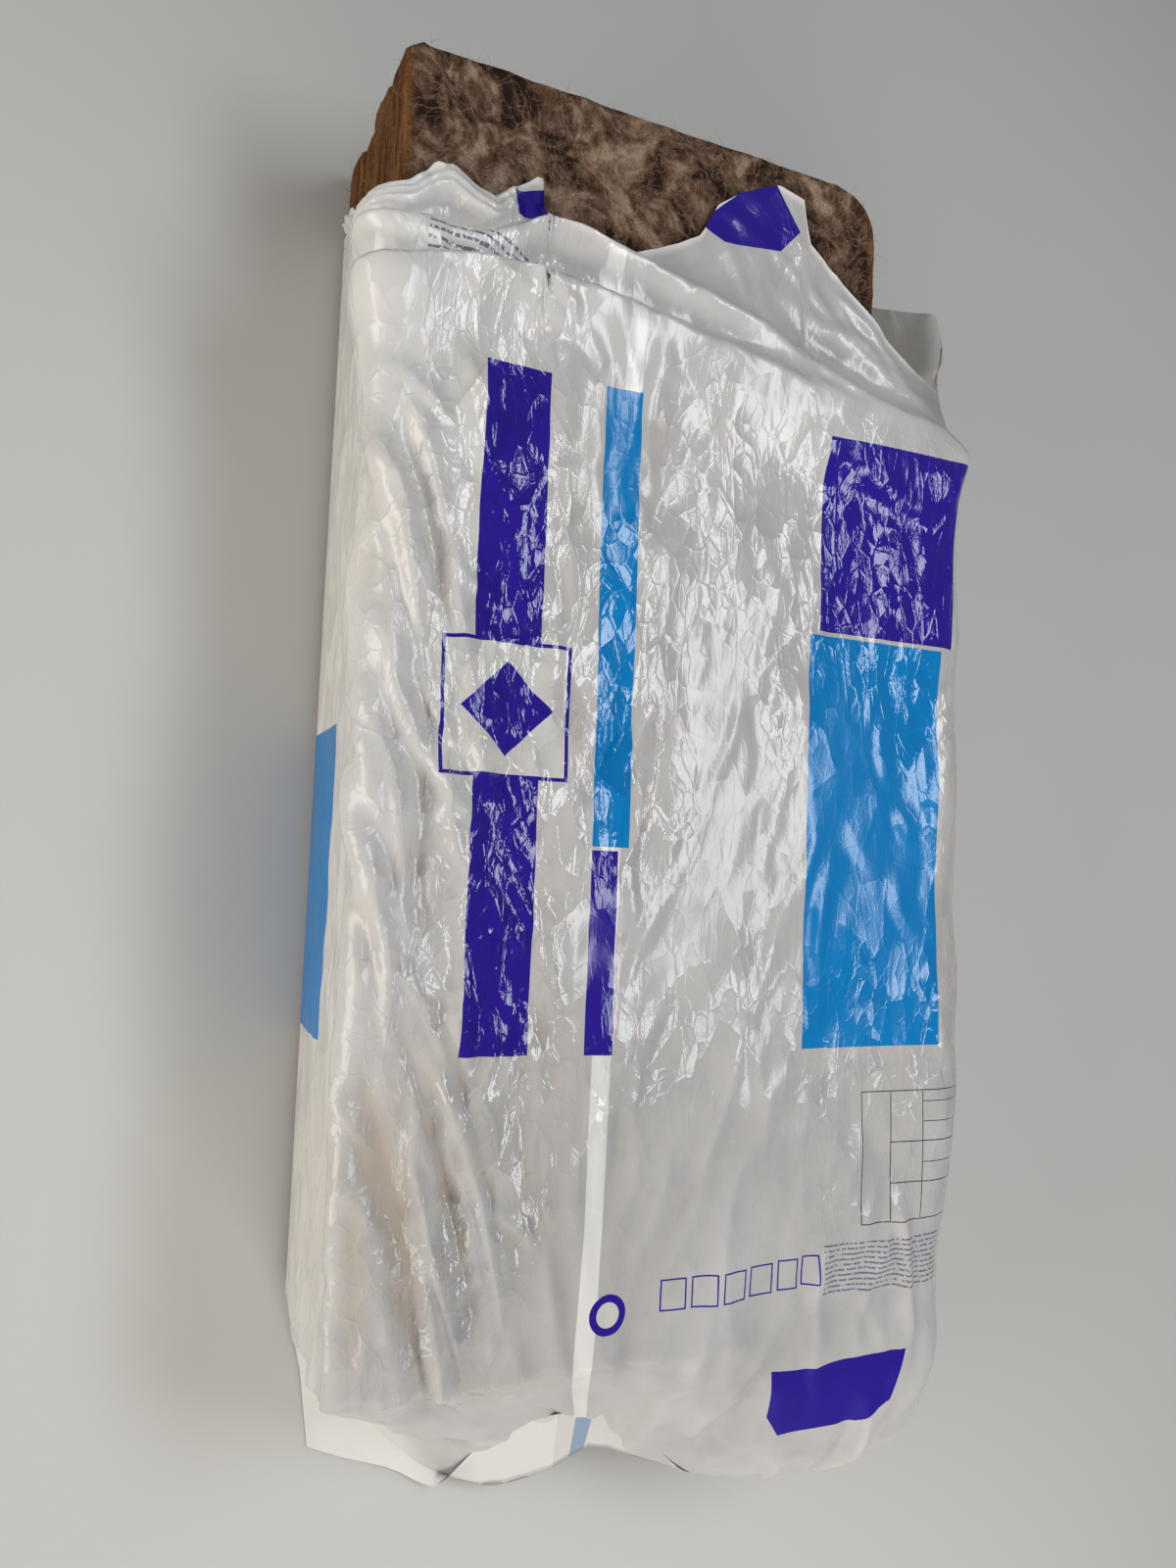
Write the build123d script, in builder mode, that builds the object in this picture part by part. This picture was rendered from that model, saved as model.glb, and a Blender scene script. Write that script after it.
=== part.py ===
"""Opened pack of glass wool boards: four full boards lying flat in a stack, inside a slack film bag.

X runs along the boards from the torn open end of the bag to its welded end, Y from the front to the
back, and Z up. The origin is on the floor, under the middle of the boards. Millimetres.
"""

from build123d import *
import os

# The boards, at their nominal size once they have sprung back
board_length = 1350.0
board_width = 600.0
board_thickness = 70.0
board_count = 4
edge_bulge = 3.0  # how far a sawn edge swells at half the board's thickness
edge_radius = 8.0  # the soft arris along the top and bottom of an edge
corner_radius = 12.0  # a board's corners, seen from above
worn_corner_radius = 55.0  # the knocked corner of the top board, at the open end and the back

# How far the boards below the top one have slid out of a true stack, the highest of them first
end_slides = [3.0, 9.0, 14.0]  # towards the open end
side_slides = [3.0, -2.0, 4.0]  # towards the front

# The film bag around the stack
film_wall = 1.5
front_slack = 12.0  # between the boards' front edges and the film
top_slack = 3.0  # between the top board and the film
back_rise = 20.0  # how much higher the film stands at the back than at the front
front_fold_radius = 16.0
back_roll_radius = 55.0
back_foot_radius = 35.0

# How far the empty side of the bag reaches behind the boards, and where it meets the floor there
mouth_reach, mouth_foot = 118.0, 80.0
body_reach, body_foot = 157.0, 110.0
end_reach, end_foot = 128.0, 90.0
shoulder_length = 190.0  # from the mouth to the bag's full reach
end_taper_length = 240.0  # from the bag's full reach to the boards' far ends

# The torn mouth. Each corner of its edge on top of the pack lies so far from the top board's open
# end, and so far from its front edge.
mouth_start = 8.0
front_dip = (176.0, 0.0)
front_peak = (138.0, 42.0)
left_flap_root = (146.0, 94.0)
left_flap_tip = (115.0, 151.0)
left_flap_inner = (172.0, 162.0)
mouth_hollow = (183.0, 232.0)
right_flap_root = (137.0, 328.0)
right_flap_side = (79.0, 374.0)
right_flap_tip = (32.0, 454.0)
right_flap_corner = (41.0, 499.0)
right_flap_inner = (95.0, 490.0)
back_edge = (173.0, 600.0)
mouth_lean = 80.0  # the edge lies this much further out at the floor than on top

# The welded end. Past the boards' far ends, the bag's top falls to a weld that dips in the middle and
# rises towards the slack back. Each section lies so far past the place where the film starts to
# fall. Its upper and lower corners run from the front to the back. The first number is a place across
# the pack, as a share of the boards' half width, and the second a height, as a share of the film's.
end_slack = 14.0  # between the boards' far ends and the place where the film starts to fall
tail_falls = [
    (
        46.0,
        [(-1.01, 0.717), (-0.67, 0.832), (0.15, 0.881), (0.57, 0.983), (1.13, 0.997), (1.43, 0.937)],
        [(-1.01, 0), (-0.67, 0), (0.15, 0.021), (0.57, 0.021), (1.17, 0.042), (1.41, 0.524)],
    ),
    (
        96.0,
        [(-0.81, 0.084), (-0.68, 0.524), (0.15, 0.664), (0.57, 0.916), (1.13, 0.937), (1.41, 0.825)],
        [(-0.81, 0), (-0.68, 0), (0.15, 0.147), (0.57, 0.098), (1.13, 0.210), (1.41, 0.727)],
    ),
    (
        146.0,
        [(-0.57, 0.077), (-0.40, 0.301), (0.15, 0.448), (0.57, 0.787), (1.13, 0.860), (1.32, 0.720)],
        [(-0.57, 0), (-0.40, 0.018), (0.15, 0.287), (0.57, 0.189), (1.13, 0.402), (1.32, 0.664)],
    ),
    (
        186.0,
        [(-0.46, 0.077), (-0.25, 0.168), (0.15, 0.329), (0.62, 0.455), (1.03, 0.727), (1.17, 0.643)],
        [(-0.46, 0.007), (-0.25, 0.042), (0.15, 0.308), (0.62, 0.287), (1.03, 0.364), (1.17, 0.608)],
    ),
    (
        216.0,
        [(-0.36, 0.084), (-0.16, 0.126), (0.15, 0.315), (0.61, 0.378), (0.75, 0.434), (0.85, 0.486)],
        [(-0.36, 0.070), (-0.16, 0.112), (0.15, 0.301), (0.61, 0.364), (0.75, 0.420), (0.85, 0.472)],
    ),
]
fin_depth = 18.0  # beyond the weld
ear_thickness = 3.0
# Where the flat ear of the fin leaves the weld, and its outer edge: past the fall's start, and across
ear_inner = [(94, -0.79), (146, -0.555), (186, -0.44)]
ear_outer = [(228, -0.41), (203, -0.58), (185, -0.75), (164, -0.91)]

stack_height = board_count * board_thickness
boards_top = film_wall + stack_height
half_length, half_width = board_length / 2, board_width / 2
film_front = -half_width - front_slack - film_wall
film_top = boards_top + top_slack + film_wall
mouth_x = -half_length + mouth_start
tail_x = half_length + end_slack


def board_solid(level):
    """One board of the stack, with swollen edges and rounded corners. Level 0 is the lowest."""
    base = film_wall + level * board_thickness
    is_top = level == board_count - 1
    depth_below_top = board_count - 1 - level
    slide_x = 0.0 if is_top else -end_slides[(depth_below_top - 1) % len(end_slides)]
    slide_y = 0.0 if is_top else -side_slides[(depth_below_top - 1) % len(side_slides)]
    flat = half_width - edge_bulge
    with BuildPart() as board:
        with BuildSketch(Plane.YZ.offset(slide_x - half_length)) as section:
            with BuildLine():
                front_low, back_low = (slide_y - flat, base), (slide_y + flat, base)
                front_high = (slide_y - flat, base + board_thickness)
                back_high = (slide_y + flat, base + board_thickness)
                middle = base + board_thickness / 2
                Line(front_low, back_low)
                ThreePointArc(back_low, (slide_y + half_width, middle), back_high)
                Line(back_high, front_high)
                ThreePointArc(front_high, (slide_y - half_width, middle), front_low)
            make_face()
            fillet(section.vertices(), edge_radius)
        extrude(amount=board_length)
        with BuildSketch(Plane.XY.offset(base)):
            with BuildLine():
                FilletPolyline(
                    (slide_x - half_length, slide_y - half_width),
                    (slide_x + half_length, slide_y - half_width),
                    (slide_x + half_length, slide_y + half_width),
                    (slide_x - half_length, slide_y + half_width),
                    radius=[
                        corner_radius,
                        corner_radius,
                        corner_radius,
                        worn_corner_radius if is_top else corner_radius,
                    ],
                    close=True,
                )
            make_face()
        extrude(amount=board_thickness, mode=Mode.INTERSECT)
    return board.part


def film_section(x, reach, foot, inset):
    """The film's outline across the pack at x. With an inset of the wall, it is the hollow inside."""
    with BuildSketch(Plane.YZ.offset(x)) as section:
        with BuildLine():
            FilletPolyline(
                (film_front + inset, inset),
                (film_front + inset, film_top - inset),
                (half_width + reach - inset, film_top + back_rise - inset),
                (half_width + foot - inset, inset),
                radius=[
                    front_fold_radius - inset,
                    front_fold_radius - inset,
                    back_roll_radius - inset,
                    back_foot_radius - inset,
                ],
                close=True,
            )
        make_face()
    return section.sketch


def tail_section(past, upper, lower, inset):
    """The film's outline across the tail, so far past its start."""
    top = [(across * half_width, high * film_top - inset) for across, high in upper]
    bottom = [(across * half_width, high * film_top + inset) for across, high in lower]
    top[0] = (top[0][0] + inset, top[0][1])
    bottom[0] = (bottom[0][0] + inset, bottom[0][1])
    top[-1] = (top[-1][0] - inset, top[-1][1])
    bottom[-1] = (bottom[-1][0] - inset, bottom[-1][1])
    bottom[-2] = (bottom[-2][0] - inset, bottom[-2][1])
    front_most = 0.45 * (top[0][1] - bottom[0][1])
    back_most = 0.45 * (top[-1][1] - bottom[-1][1])
    radii = [0.0] * (len(top) + len(bottom))
    radii[0] = min(front_fold_radius - inset, front_most)
    radii[-1] = radii[0]
    radii[len(bottom)] = min(back_roll_radius - inset, back_most)
    radii[len(bottom) - 2] = min(back_foot_radius - inset, back_most)
    with BuildSketch(Plane.YZ.offset(tail_x + past)) as section:
        with BuildLine():
            FilletPolyline(*bottom, *reversed(top), radius=radii, close=True)
        make_face()
    return section.sketch


def bag_form(inset):
    """The bag as a full form: a long body and a tail that falls to the weld.

    The outer form goes on past the weld as the fin, where the hollow inside has ended.
    """
    with BuildPart() as form:
        body = [
            film_section(mouth_x, mouth_reach, mouth_foot, inset),
            film_section(mouth_x + shoulder_length, body_reach, body_foot, inset),
            film_section(half_length - end_taper_length, body_reach, body_foot, inset),
            film_section(tail_x, end_reach, end_foot, inset),
        ]
        tail = [tail_section(*fall, inset) for fall in tail_falls]
        if not inset:
            past, upper, lower = tail_falls[-1]
            tail.append(tail_section(past + fin_depth, upper, lower, inset))
        loft(body, ruled=True)
        loft([body[-1], tail[0]], ruled=True)
        loft(tail, ruled=True)
    return form.part


def film_bag_solid():
    """The whole bag: a thin shell with a torn, leaning mouth and a welded fin at the other end."""
    outer, hollow = bag_form(0.0), bag_form(film_wall)
    with BuildPart() as bag:
        add(outer)
        add(hollow, mode=Mode.SUBTRACT)

        # The mouth is cut along the torn edge, which leans outwards towards the floor.
        past_front = film_front - mouth_lean
        past_back = half_width + body_reach + mouth_lean
        far_out = mouth_x - mouth_lean - half_length
        with BuildSketch(Plane.XY.offset(film_top + back_rise)):
            with BuildLine():
                torn = [
                    front_dip,
                    front_peak,
                    left_flap_root,
                    left_flap_tip,
                    left_flap_inner,
                    mouth_hollow,
                    right_flap_root,
                    right_flap_side,
                    right_flap_tip,
                    right_flap_corner,
                    right_flap_inner,
                    back_edge,
                ]
                edge = [(out - half_length, back - half_width) for out, back in torn]
                Polyline(
                    (far_out, past_front),
                    (edge[0][0], past_front),
                    *edge,
                    (edge[-1][0], past_back),
                    (far_out, past_back),
                    close=True,
                )
            make_face()
        lean = Vector(-mouth_lean, 0, -film_top)
        extrude(amount=2 * film_top, dir=lean, mode=Mode.SUBTRACT)

        # At the front the weld ends in a flat ear on the floor.
        with BuildSketch():
            with BuildLine():
                corners = [(tail_x + past, share * half_width) for past, share in ear_inner + ear_outer]
                Polyline(*corners, close=True)
            make_face()
        extrude(amount=ear_thickness)
    return bag.part


os.makedirs("parts", exist_ok=True)

for level in range(board_count):
    board = board_solid(level)
    board.label = f"board_{level + 1}"
    export_step(board, f"parts/{board.label}.step")

with BuildPart() as film_bag:
    add(film_bag_solid())
film_bag.part.label = "film_bag"
export_step(film_bag.part, "parts/film_bag.step")
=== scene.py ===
"""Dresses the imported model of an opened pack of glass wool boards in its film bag.

The boards get a fibrous, mottled wool skin with loose fibres at their cut faces, and the bag is one
sheet of crumpled film around them, with its torn mouth, its pleats, its lap seam and its welded tail.
Everything is in metres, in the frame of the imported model: X along the boards from the bag's open end
to its welded end, Y from the front to the back, and Z up.
"""

import logging
import math
from dataclasses import dataclass
from enum import Enum

import bmesh
import bpy
import numpy as np
from mathutils import Matrix, Vector, noise
from mathutils.bvhtree import BVHTree
from mathutils.geometry import delaunay_2d_cdt

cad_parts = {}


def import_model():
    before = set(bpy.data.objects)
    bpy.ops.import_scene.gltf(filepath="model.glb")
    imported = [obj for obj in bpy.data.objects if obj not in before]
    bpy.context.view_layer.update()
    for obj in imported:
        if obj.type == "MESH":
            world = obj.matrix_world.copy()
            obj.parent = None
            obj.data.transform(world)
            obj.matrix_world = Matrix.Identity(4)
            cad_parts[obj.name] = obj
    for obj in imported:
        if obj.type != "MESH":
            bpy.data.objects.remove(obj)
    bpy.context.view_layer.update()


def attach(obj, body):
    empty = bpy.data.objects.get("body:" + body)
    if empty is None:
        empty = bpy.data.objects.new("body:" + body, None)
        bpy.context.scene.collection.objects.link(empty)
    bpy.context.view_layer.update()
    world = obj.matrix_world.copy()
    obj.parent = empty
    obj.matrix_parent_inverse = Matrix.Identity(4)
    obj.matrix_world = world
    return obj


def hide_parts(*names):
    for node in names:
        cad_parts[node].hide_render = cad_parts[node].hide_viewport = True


LOG = logging.getLogger("wool_pack")
Point2 = tuple[float, float]
Point3 = tuple[float, float, float]
Colour = tuple[float, float, float, float]
Rect = tuple[float, float, float, float]
Socket = bpy.types.NodeSocket
Value = Socket | float | tuple[float, ...]  # what an input of a shader node is linked or set to
Inputs = dict[str | int, Value | None]


def smooth_step(low: float, high: float, value: np.ndarray) -> np.ndarray:
    """Rises smoothly from 0 at low to 1 at high."""
    share = np.clip((value - low) / (high - low), 0.0, 1.0)
    return share * share * (3.0 - 2.0 * share)


def window(start: float, full: float, fading: float, end: float, value: np.ndarray) -> np.ndarray:
    """Rises smoothly from 0 at start to 1 at full, and falls again from fading to 0 at end."""
    return smooth_step(start, full, value) * (1 - smooth_step(fading, end, value))


def hump(middle: float, reach: float, value: np.ndarray) -> np.ndarray:
    """A soft hump, 1 at its middle and close to 0 a little beyond its reach on either side."""
    return np.exp(-(((value - middle) / reach) ** 2))


@dataclass(frozen=True)
class Track:
    """A size that changes along the pack: values at places, with smooth turns between them."""

    places: tuple[float, ...]
    values: tuple[float, ...]

    def at(self, place: np.ndarray) -> np.ndarray:
        """The size at each place, by a monotone cubic through the values."""
        x, y = np.array(self.places), np.array(self.values)
        steps, rises = np.diff(x), np.diff(y)
        slopes = rises / steps
        tangents = np.zeros_like(y)
        same_way = slopes[1:] * slopes[:-1] > 0
        inner = 2 * slopes[1:] * slopes[:-1] / np.where(same_way, slopes[1:] + slopes[:-1], 1.0)
        tangents[1:-1] = np.where(same_way, inner, 0.0)
        place = np.clip(np.asarray(place, float), x[0], x[-1])
        i = np.clip(np.searchsorted(x, place, side="right") - 1, 0, len(x) - 2)
        t = (place - x[i]) / steps[i]
        return (
            (2 * t**3 - 3 * t**2 + 1) * y[i]
            + (t**3 - 2 * t**2 + t) * steps[i] * tangents[i]
            + (3 * t**2 - 2 * t**3) * y[i + 1]
            + (t**3 - t**2) * steps[i] * tangents[i + 1]
        )


def run_lengths(line: np.ndarray) -> np.ndarray:
    """How far along the line through the points each of them lies."""
    return np.concatenate([[0], np.cumsum(np.linalg.norm(np.diff(line, axis=0), axis=1))])


def curve_through(points: tuple[Point3, ...], marks: np.ndarray, share: np.ndarray) -> np.ndarray:
    """The places on a smooth curve through the points, each of which lies at its own mark."""
    return np.stack([Track(tuple(marks), values).at(share) for values in zip(*points)], axis=-1)


def shaped_grid(
    name: str,
    places: np.ndarray,
    film: np.ndarray | None = None,
    marks: dict[str, np.ndarray] | None = None,
    strips: bool = False,
    join: float = 1e-5,
) -> bpy.types.Object:
    """Makes a mesh object from a bmesh grid whose points are moved to given places.

    Args:
        name: The object's name.
        places: The place of each point, by row and column.
        film: The UV coordinates of each point, by row and column, for a map called film.
        marks: The values of each point, by row and column, for attributes of the given names.
        strips: Whether every second band of faces goes, so that each pair of columns is a strip.
        join: Points closer than this become one. Zero leaves them apart.

    Returns:
        The new object, with smooth faces.
    """
    rows, count = places.shape[:2]
    grid = bmesh.new()
    bmesh.ops.create_grid(grid, x_segments=rows - 1, y_segments=count - 1, size=0.5)
    if strips:
        band = [face for face in grid.faces if int((face.calc_center_median().y + 0.5) * (count - 1)) % 2]
        bmesh.ops.delete(grid, geom=band, context="FACES_ONLY")
    mesh = bpy.data.meshes.new(name)
    grid.to_mesh(mesh)
    grid.free()

    flat = np.empty(len(mesh.vertices) * 3, np.float32)
    mesh.vertices.foreach_get("co", flat)
    spot = np.rint((flat.reshape(-1, 3)[:, :2] + 0.5) * [rows - 1, count - 1]).astype(int)
    mesh.vertices.foreach_set("co", places[spot[:, 0], spot[:, 1]].astype(np.float32).ravel())
    if film is not None:
        corner = np.empty(len(mesh.loops), np.int32)
        mesh.loops.foreach_get("vertex_index", corner)
        spots = spot[corner]
        layer = mesh.uv_layers.new(name="film")
        layer.data.foreach_set("uv", film[spots[:, 0], spots[:, 1]].astype(np.float32).ravel())
    for label, values in (marks or {}).items():
        mark = mesh.attributes.new(label, "FLOAT", "POINT")
        mark.data.foreach_set("value", values[spot[:, 0], spot[:, 1]].astype(np.float32))
    if join:
        merged = bmesh.new()
        merged.from_mesh(mesh)
        bmesh.ops.remove_doubles(merged, verts=merged.verts, dist=join)
        merged.to_mesh(mesh)
        merged.free()
    mesh.polygons.foreach_set("use_smooth", [True] * len(mesh.polygons))
    mesh.update()
    made = bpy.data.objects.new(name, mesh)
    bpy.context.collection.objects.link(made)
    return made


class CreaseField:
    """A crumpled height field: flat facets between straight creases, over the film's own plane."""

    def __init__(self, low: Point2, high: Point2, facet: float, stretch: float, seed: int) -> None:
        """Scatters the crease points.

        Args:
            low: The lowest corner of the film's plane, in metres.
            high: Its highest corner.
            facet: The usual size of a facet across the pack.
            stretch: How many times longer a facet is along the pack.
            seed: The seed of the random places and heights.
        """
        draws = np.random.default_rng(seed)
        self.stretch = stretch
        margin = 2.0 * facet
        across = np.arange(low[1] - margin, high[1] + margin, facet)
        along = np.arange(low[0] / stretch - margin, high[0] / stretch + margin, facet)
        grid = np.stack(np.meshgrid(along, across, indexing="ij"), axis=-1).reshape(-1, 2)
        places = grid + draws.uniform(-0.48, 0.48, grid.shape) * facet
        heights = draws.uniform(-1.0, 1.0, len(places))
        vertices, _, faces, *_ = delaunay_2d_cdt([Vector(place) for place in places], [], [], 0, 1e-6)
        points = [Vector((v.x, v.y, h)) for v, h in zip(vertices, heights)]
        self.tree = BVHTree.FromPolygons(points, faces)

    def heights(self, along: np.ndarray, across: np.ndarray) -> np.ndarray:
        """The height, from -1 to 1, at each point of the film's plane."""
        down, top = Vector((0, 0, -1)), 5.0
        flat_along, flat_across = (along / self.stretch).ravel(), across.ravel()
        out = np.zeros(flat_along.shape)
        for i, (a, b) in enumerate(zip(flat_along, flat_across)):
            hit = self.tree.ray_cast(Vector((a, b, top)), down)[0]
            out[i] = hit.z if hit is not None else 0.0
        return out.reshape(along.shape)


@dataclass(frozen=True)
class Crease:
    """One long pinched crease in the film, or a soft fold where it is wide."""

    start: Point2
    end: Point2
    width: float
    height: float
    bend: float = 0.0  # how far its middle bows aside
    sharp: float = 1.05
    lean: float = 1.35  # how much wider it is towards the back than towards the front
    taper: float = 0.35  # how much narrower it gets from its middle to its end
    trough: float = 0.35  # how deep the film sinks beside it, as a share of its height

    def add_to(self, out: np.ndarray, along: np.ndarray, across: np.ndarray) -> None:
        """Adds the crease's height to the height of each point of the film."""
        (u, v), (end_u, end_v) = self.start, self.end
        half, turn = math.hypot(end_u - u, end_v - v) / 2, math.atan2(end_v - v, end_u - u)
        middle_u, middle_v = (u + end_u) / 2, (v + end_v) / 2
        reach = half + 4 * self.width
        near = (np.abs(along - middle_u) < reach) & (np.abs(across - middle_v) < reach)
        du, dv = along[near] - middle_u, across[near] - middle_v
        t = (du * math.cos(turn) + dv * math.sin(turn)) / half
        s = -du * math.sin(turn) + dv * math.cos(turn) + self.bend * (t * t - 0.5)
        wide = np.where(s * math.cos(turn) > 0, self.lean, 1 / self.lean) * self.width
        off = np.abs(s) / (wide * (1.0 - self.taper * np.clip(t, -1, 1)))
        shape = np.exp(-(off**self.sharp)) - self.trough * np.exp(-((off - 1.9) ** 2))
        out[near] += self.height * shape * np.clip(1 - t * t, 0, 1) ** 1.2


@dataclass(frozen=True)
class CreaseBand:
    """A family of long pinched creases on one part of the film."""

    low: Point2  # the nearest corner of the part, along and across the film
    high: Point2
    count: int
    slant: float  # degrees from the pack's length towards the back
    spread: float  # how far the creases' directions differ, in degrees
    length: tuple[float, float]
    width: tuple[float, float]
    height: tuple[float, float]
    seed: int

    def creases(self) -> list[Crease]:
        """The band's creases, at random places."""
        draws = np.random.default_rng(self.seed)
        made = []
        for _ in range(self.count):
            u, v = draws.uniform(self.low[0], self.high[0]), draws.uniform(self.low[1], self.high[1])
            turn = math.radians(self.slant + draws.normal(0, self.spread))
            half, width = draws.uniform(*self.length) / 2, draws.uniform(*self.width)
            height = draws.uniform(*self.height) * draws.choice([-0.6, 1.0], p=[0.3, 0.7])
            step_u, step_v = half * math.cos(turn), half * math.sin(turn)
            bend, sharp = draws.normal(0, 0.12) * half, draws.uniform(0.9, 1.6)
            start, end = (u - step_u, v - step_v), (u + step_u, v + step_v)
            made.append(Crease(start, end, width, height, bend, sharp))
        return made


@dataclass(frozen=True)
class Pleat:
    """A long rounded fold in the film, along a line in the film's own plane."""

    line: tuple[Point2, ...]
    height: float
    mouth_side: float  # how far the fold reaches on the side of the mouth
    pack_side: float  # and on the other side
    lean: float = 0.0  # how far its crest leans over towards the mouth, at the front
    fade: float = 0.05  # how far from its ends it dies away
    wider: float = 1.6  # how many times wider it is at the back
    upright: float = 0.85  # the share of its lean that it loses towards the back

    def softness(self, across: np.ndarray) -> np.ndarray:
        """How far the fold has softened at each place across the film, from 0 to 1."""
        return smooth_step(0.20, 0.42, across)

    def middle(self, across: np.ndarray) -> np.ndarray:
        """How far along the film the fold's crest lies."""
        line = np.array(self.line)
        return Track(tuple(line[:, 1]), tuple(line[:, 0])).at(across)

    def bump(self, along: np.ndarray, across: np.ndarray) -> np.ndarray:
        """The fold's share of its height at each point, from 0 to 1."""
        line = np.array(self.line)
        step = 0.004
        slope = (self.middle(across + step) - self.middle(across - step)) / (2 * step)
        off = (along - self.middle(across)) / np.sqrt(1 + slope**2)
        reach = np.where(off < 0, self.mouth_side, self.pack_side)
        reach = reach * (1 + (self.wider - 1) * self.softness(across))
        first, last = line[0, 1], line[-1, 1]
        ends = window(first - self.fade, first + self.fade, last - self.fade, last + self.fade, across)
        return np.exp(-((np.abs(off) / reach) ** 1.7)) * ends


class NodeBuilder:
    """Adds and links shader nodes with few words."""

    def __init__(self, tree: bpy.types.NodeTree) -> None:
        """Keeps the tree that the nodes go into."""
        self.tree = tree

    def add(self, kind: str, inputs: Inputs | None = None, **settings: object) -> bpy.types.Node:
        """Adds a shader node, sets its attributes and fills its inputs."""
        node = self.tree.nodes.new(f"ShaderNode{kind}")
        for name, value in settings.items():
            setattr(node, name, value)
        self.fill(node, inputs or {})
        return node

    def fill(self, node: bpy.types.Node, inputs: Inputs) -> None:
        """Links other nodes' outputs to a node's inputs, or sets the inputs to plain values."""
        for socket, value in inputs.items():
            if isinstance(value, bpy.types.NodeSocket):
                self.tree.links.new(value, node.inputs[socket])
            elif value is not None:
                node.inputs[socket].default_value = value

    def math(self, operation: str, a: Value, b: Value | None = None) -> Socket:
        """The result of a Math node."""
        return self.add("Math", {0: a, 1: b}, operation=operation).outputs[0]

    def times(self, first: Value, *more: Value) -> Value:
        """The product of two or more values."""
        for value in more:
            first = self.math("MULTIPLY", first, value)
        return first

    def plus(self, a: Value, b: Value) -> Socket:
        """The sum of two values."""
        return self.math("ADD", a, b)

    def minus(self, a: Value, b: Value) -> Socket:
        """The first value less the second."""
        return self.math("SUBTRACT", a, b)

    def gap(self, a: Value, b: Value) -> Socket:
        """How far apart two values are."""
        return self.math("ABSOLUTE", self.minus(a, b))

    def weighted(self, a: Value, weight_a: float, b: Value, weight_b: float) -> Socket:
        """The sum of two values, each times its own weight."""
        return self.plus(self.times(a, weight_a), self.times(b, weight_b))

    def within(self, value: Value, low: float, high: float) -> Value:
        """1 where the value lies between low and high, and 0 elsewhere."""
        return self.times(self.math("GREATER_THAN", value, low), self.math("LESS_THAN", value, high))

    def vector(
        self, operation: str, a: Value, b: Value | None = None, scale: Value | None = None
    ) -> Socket:
        """The result of a Vector Math node."""
        return self.add("VectorMath", {0: a, 1: b, "Scale": scale}, operation=operation).outputs[0]

    def mix(self, share: Value, a: Value, b: Value, blend: str = "MIX") -> Socket:
        """The colour between a and b."""
        return self.add("Mix", {"Factor": share, 6: a, 7: b}, data_type="RGBA", blend_type=blend).outputs[2]

    def ramp(self, value: Value, low: float, high: float, least: float = 0.0, most: float = 1.0) -> Socket:
        """A value that goes from least at low to most at high, clamped."""
        bounds = {"Value": value, "From Min": low, "From Max": high, "To Min": least, "To Max": most}
        return self.add("MapRange", bounds, clamp=True).outputs["Result"]

    def scaled(self, place: Value, scale: Point3) -> Socket:
        """Coordinates times a factor of their own for each axis."""
        return self.add("Mapping", {"Vector": place, "Scale": scale}).outputs["Vector"]

    def mark(self, name: str) -> Socket:
        """The value of one of the mesh's attributes."""
        return self.add("Attribute", attribute_name=name).outputs["Fac"]

    def noise(
        self,
        place: Value,
        scale: float,
        detail: float,
        rough: float = 0.5,
        warp: float = 0.0,
        out: str = "Fac",
    ) -> Socket:
        """The value of a Noise texture, or its colour.

        Args:
            place: The coordinates that the noise is taken at.
            scale: How fine it is.
            detail: How many finer layers it has.
            rough: How strong those are.
            warp: How far they are bent aside.
            out: The output that is wanted, Fac or Color.

        Returns:
            That output.
        """
        inputs = {"Vector": place, "Scale": scale, "Detail": detail, "Roughness": rough, "Distortion": warp}
        return self.add("TexNoise", inputs).outputs[out]


def new_material(name: str) -> tuple[bpy.types.Material, NodeBuilder, bpy.types.Node]:
    """A new material, with a builder for its nodes and its Principled shader."""
    material = bpy.data.materials.new(name)
    material.use_nodes = True
    return material, NodeBuilder(material.node_tree), material.node_tree.nodes["Principled BSDF"]


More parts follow.
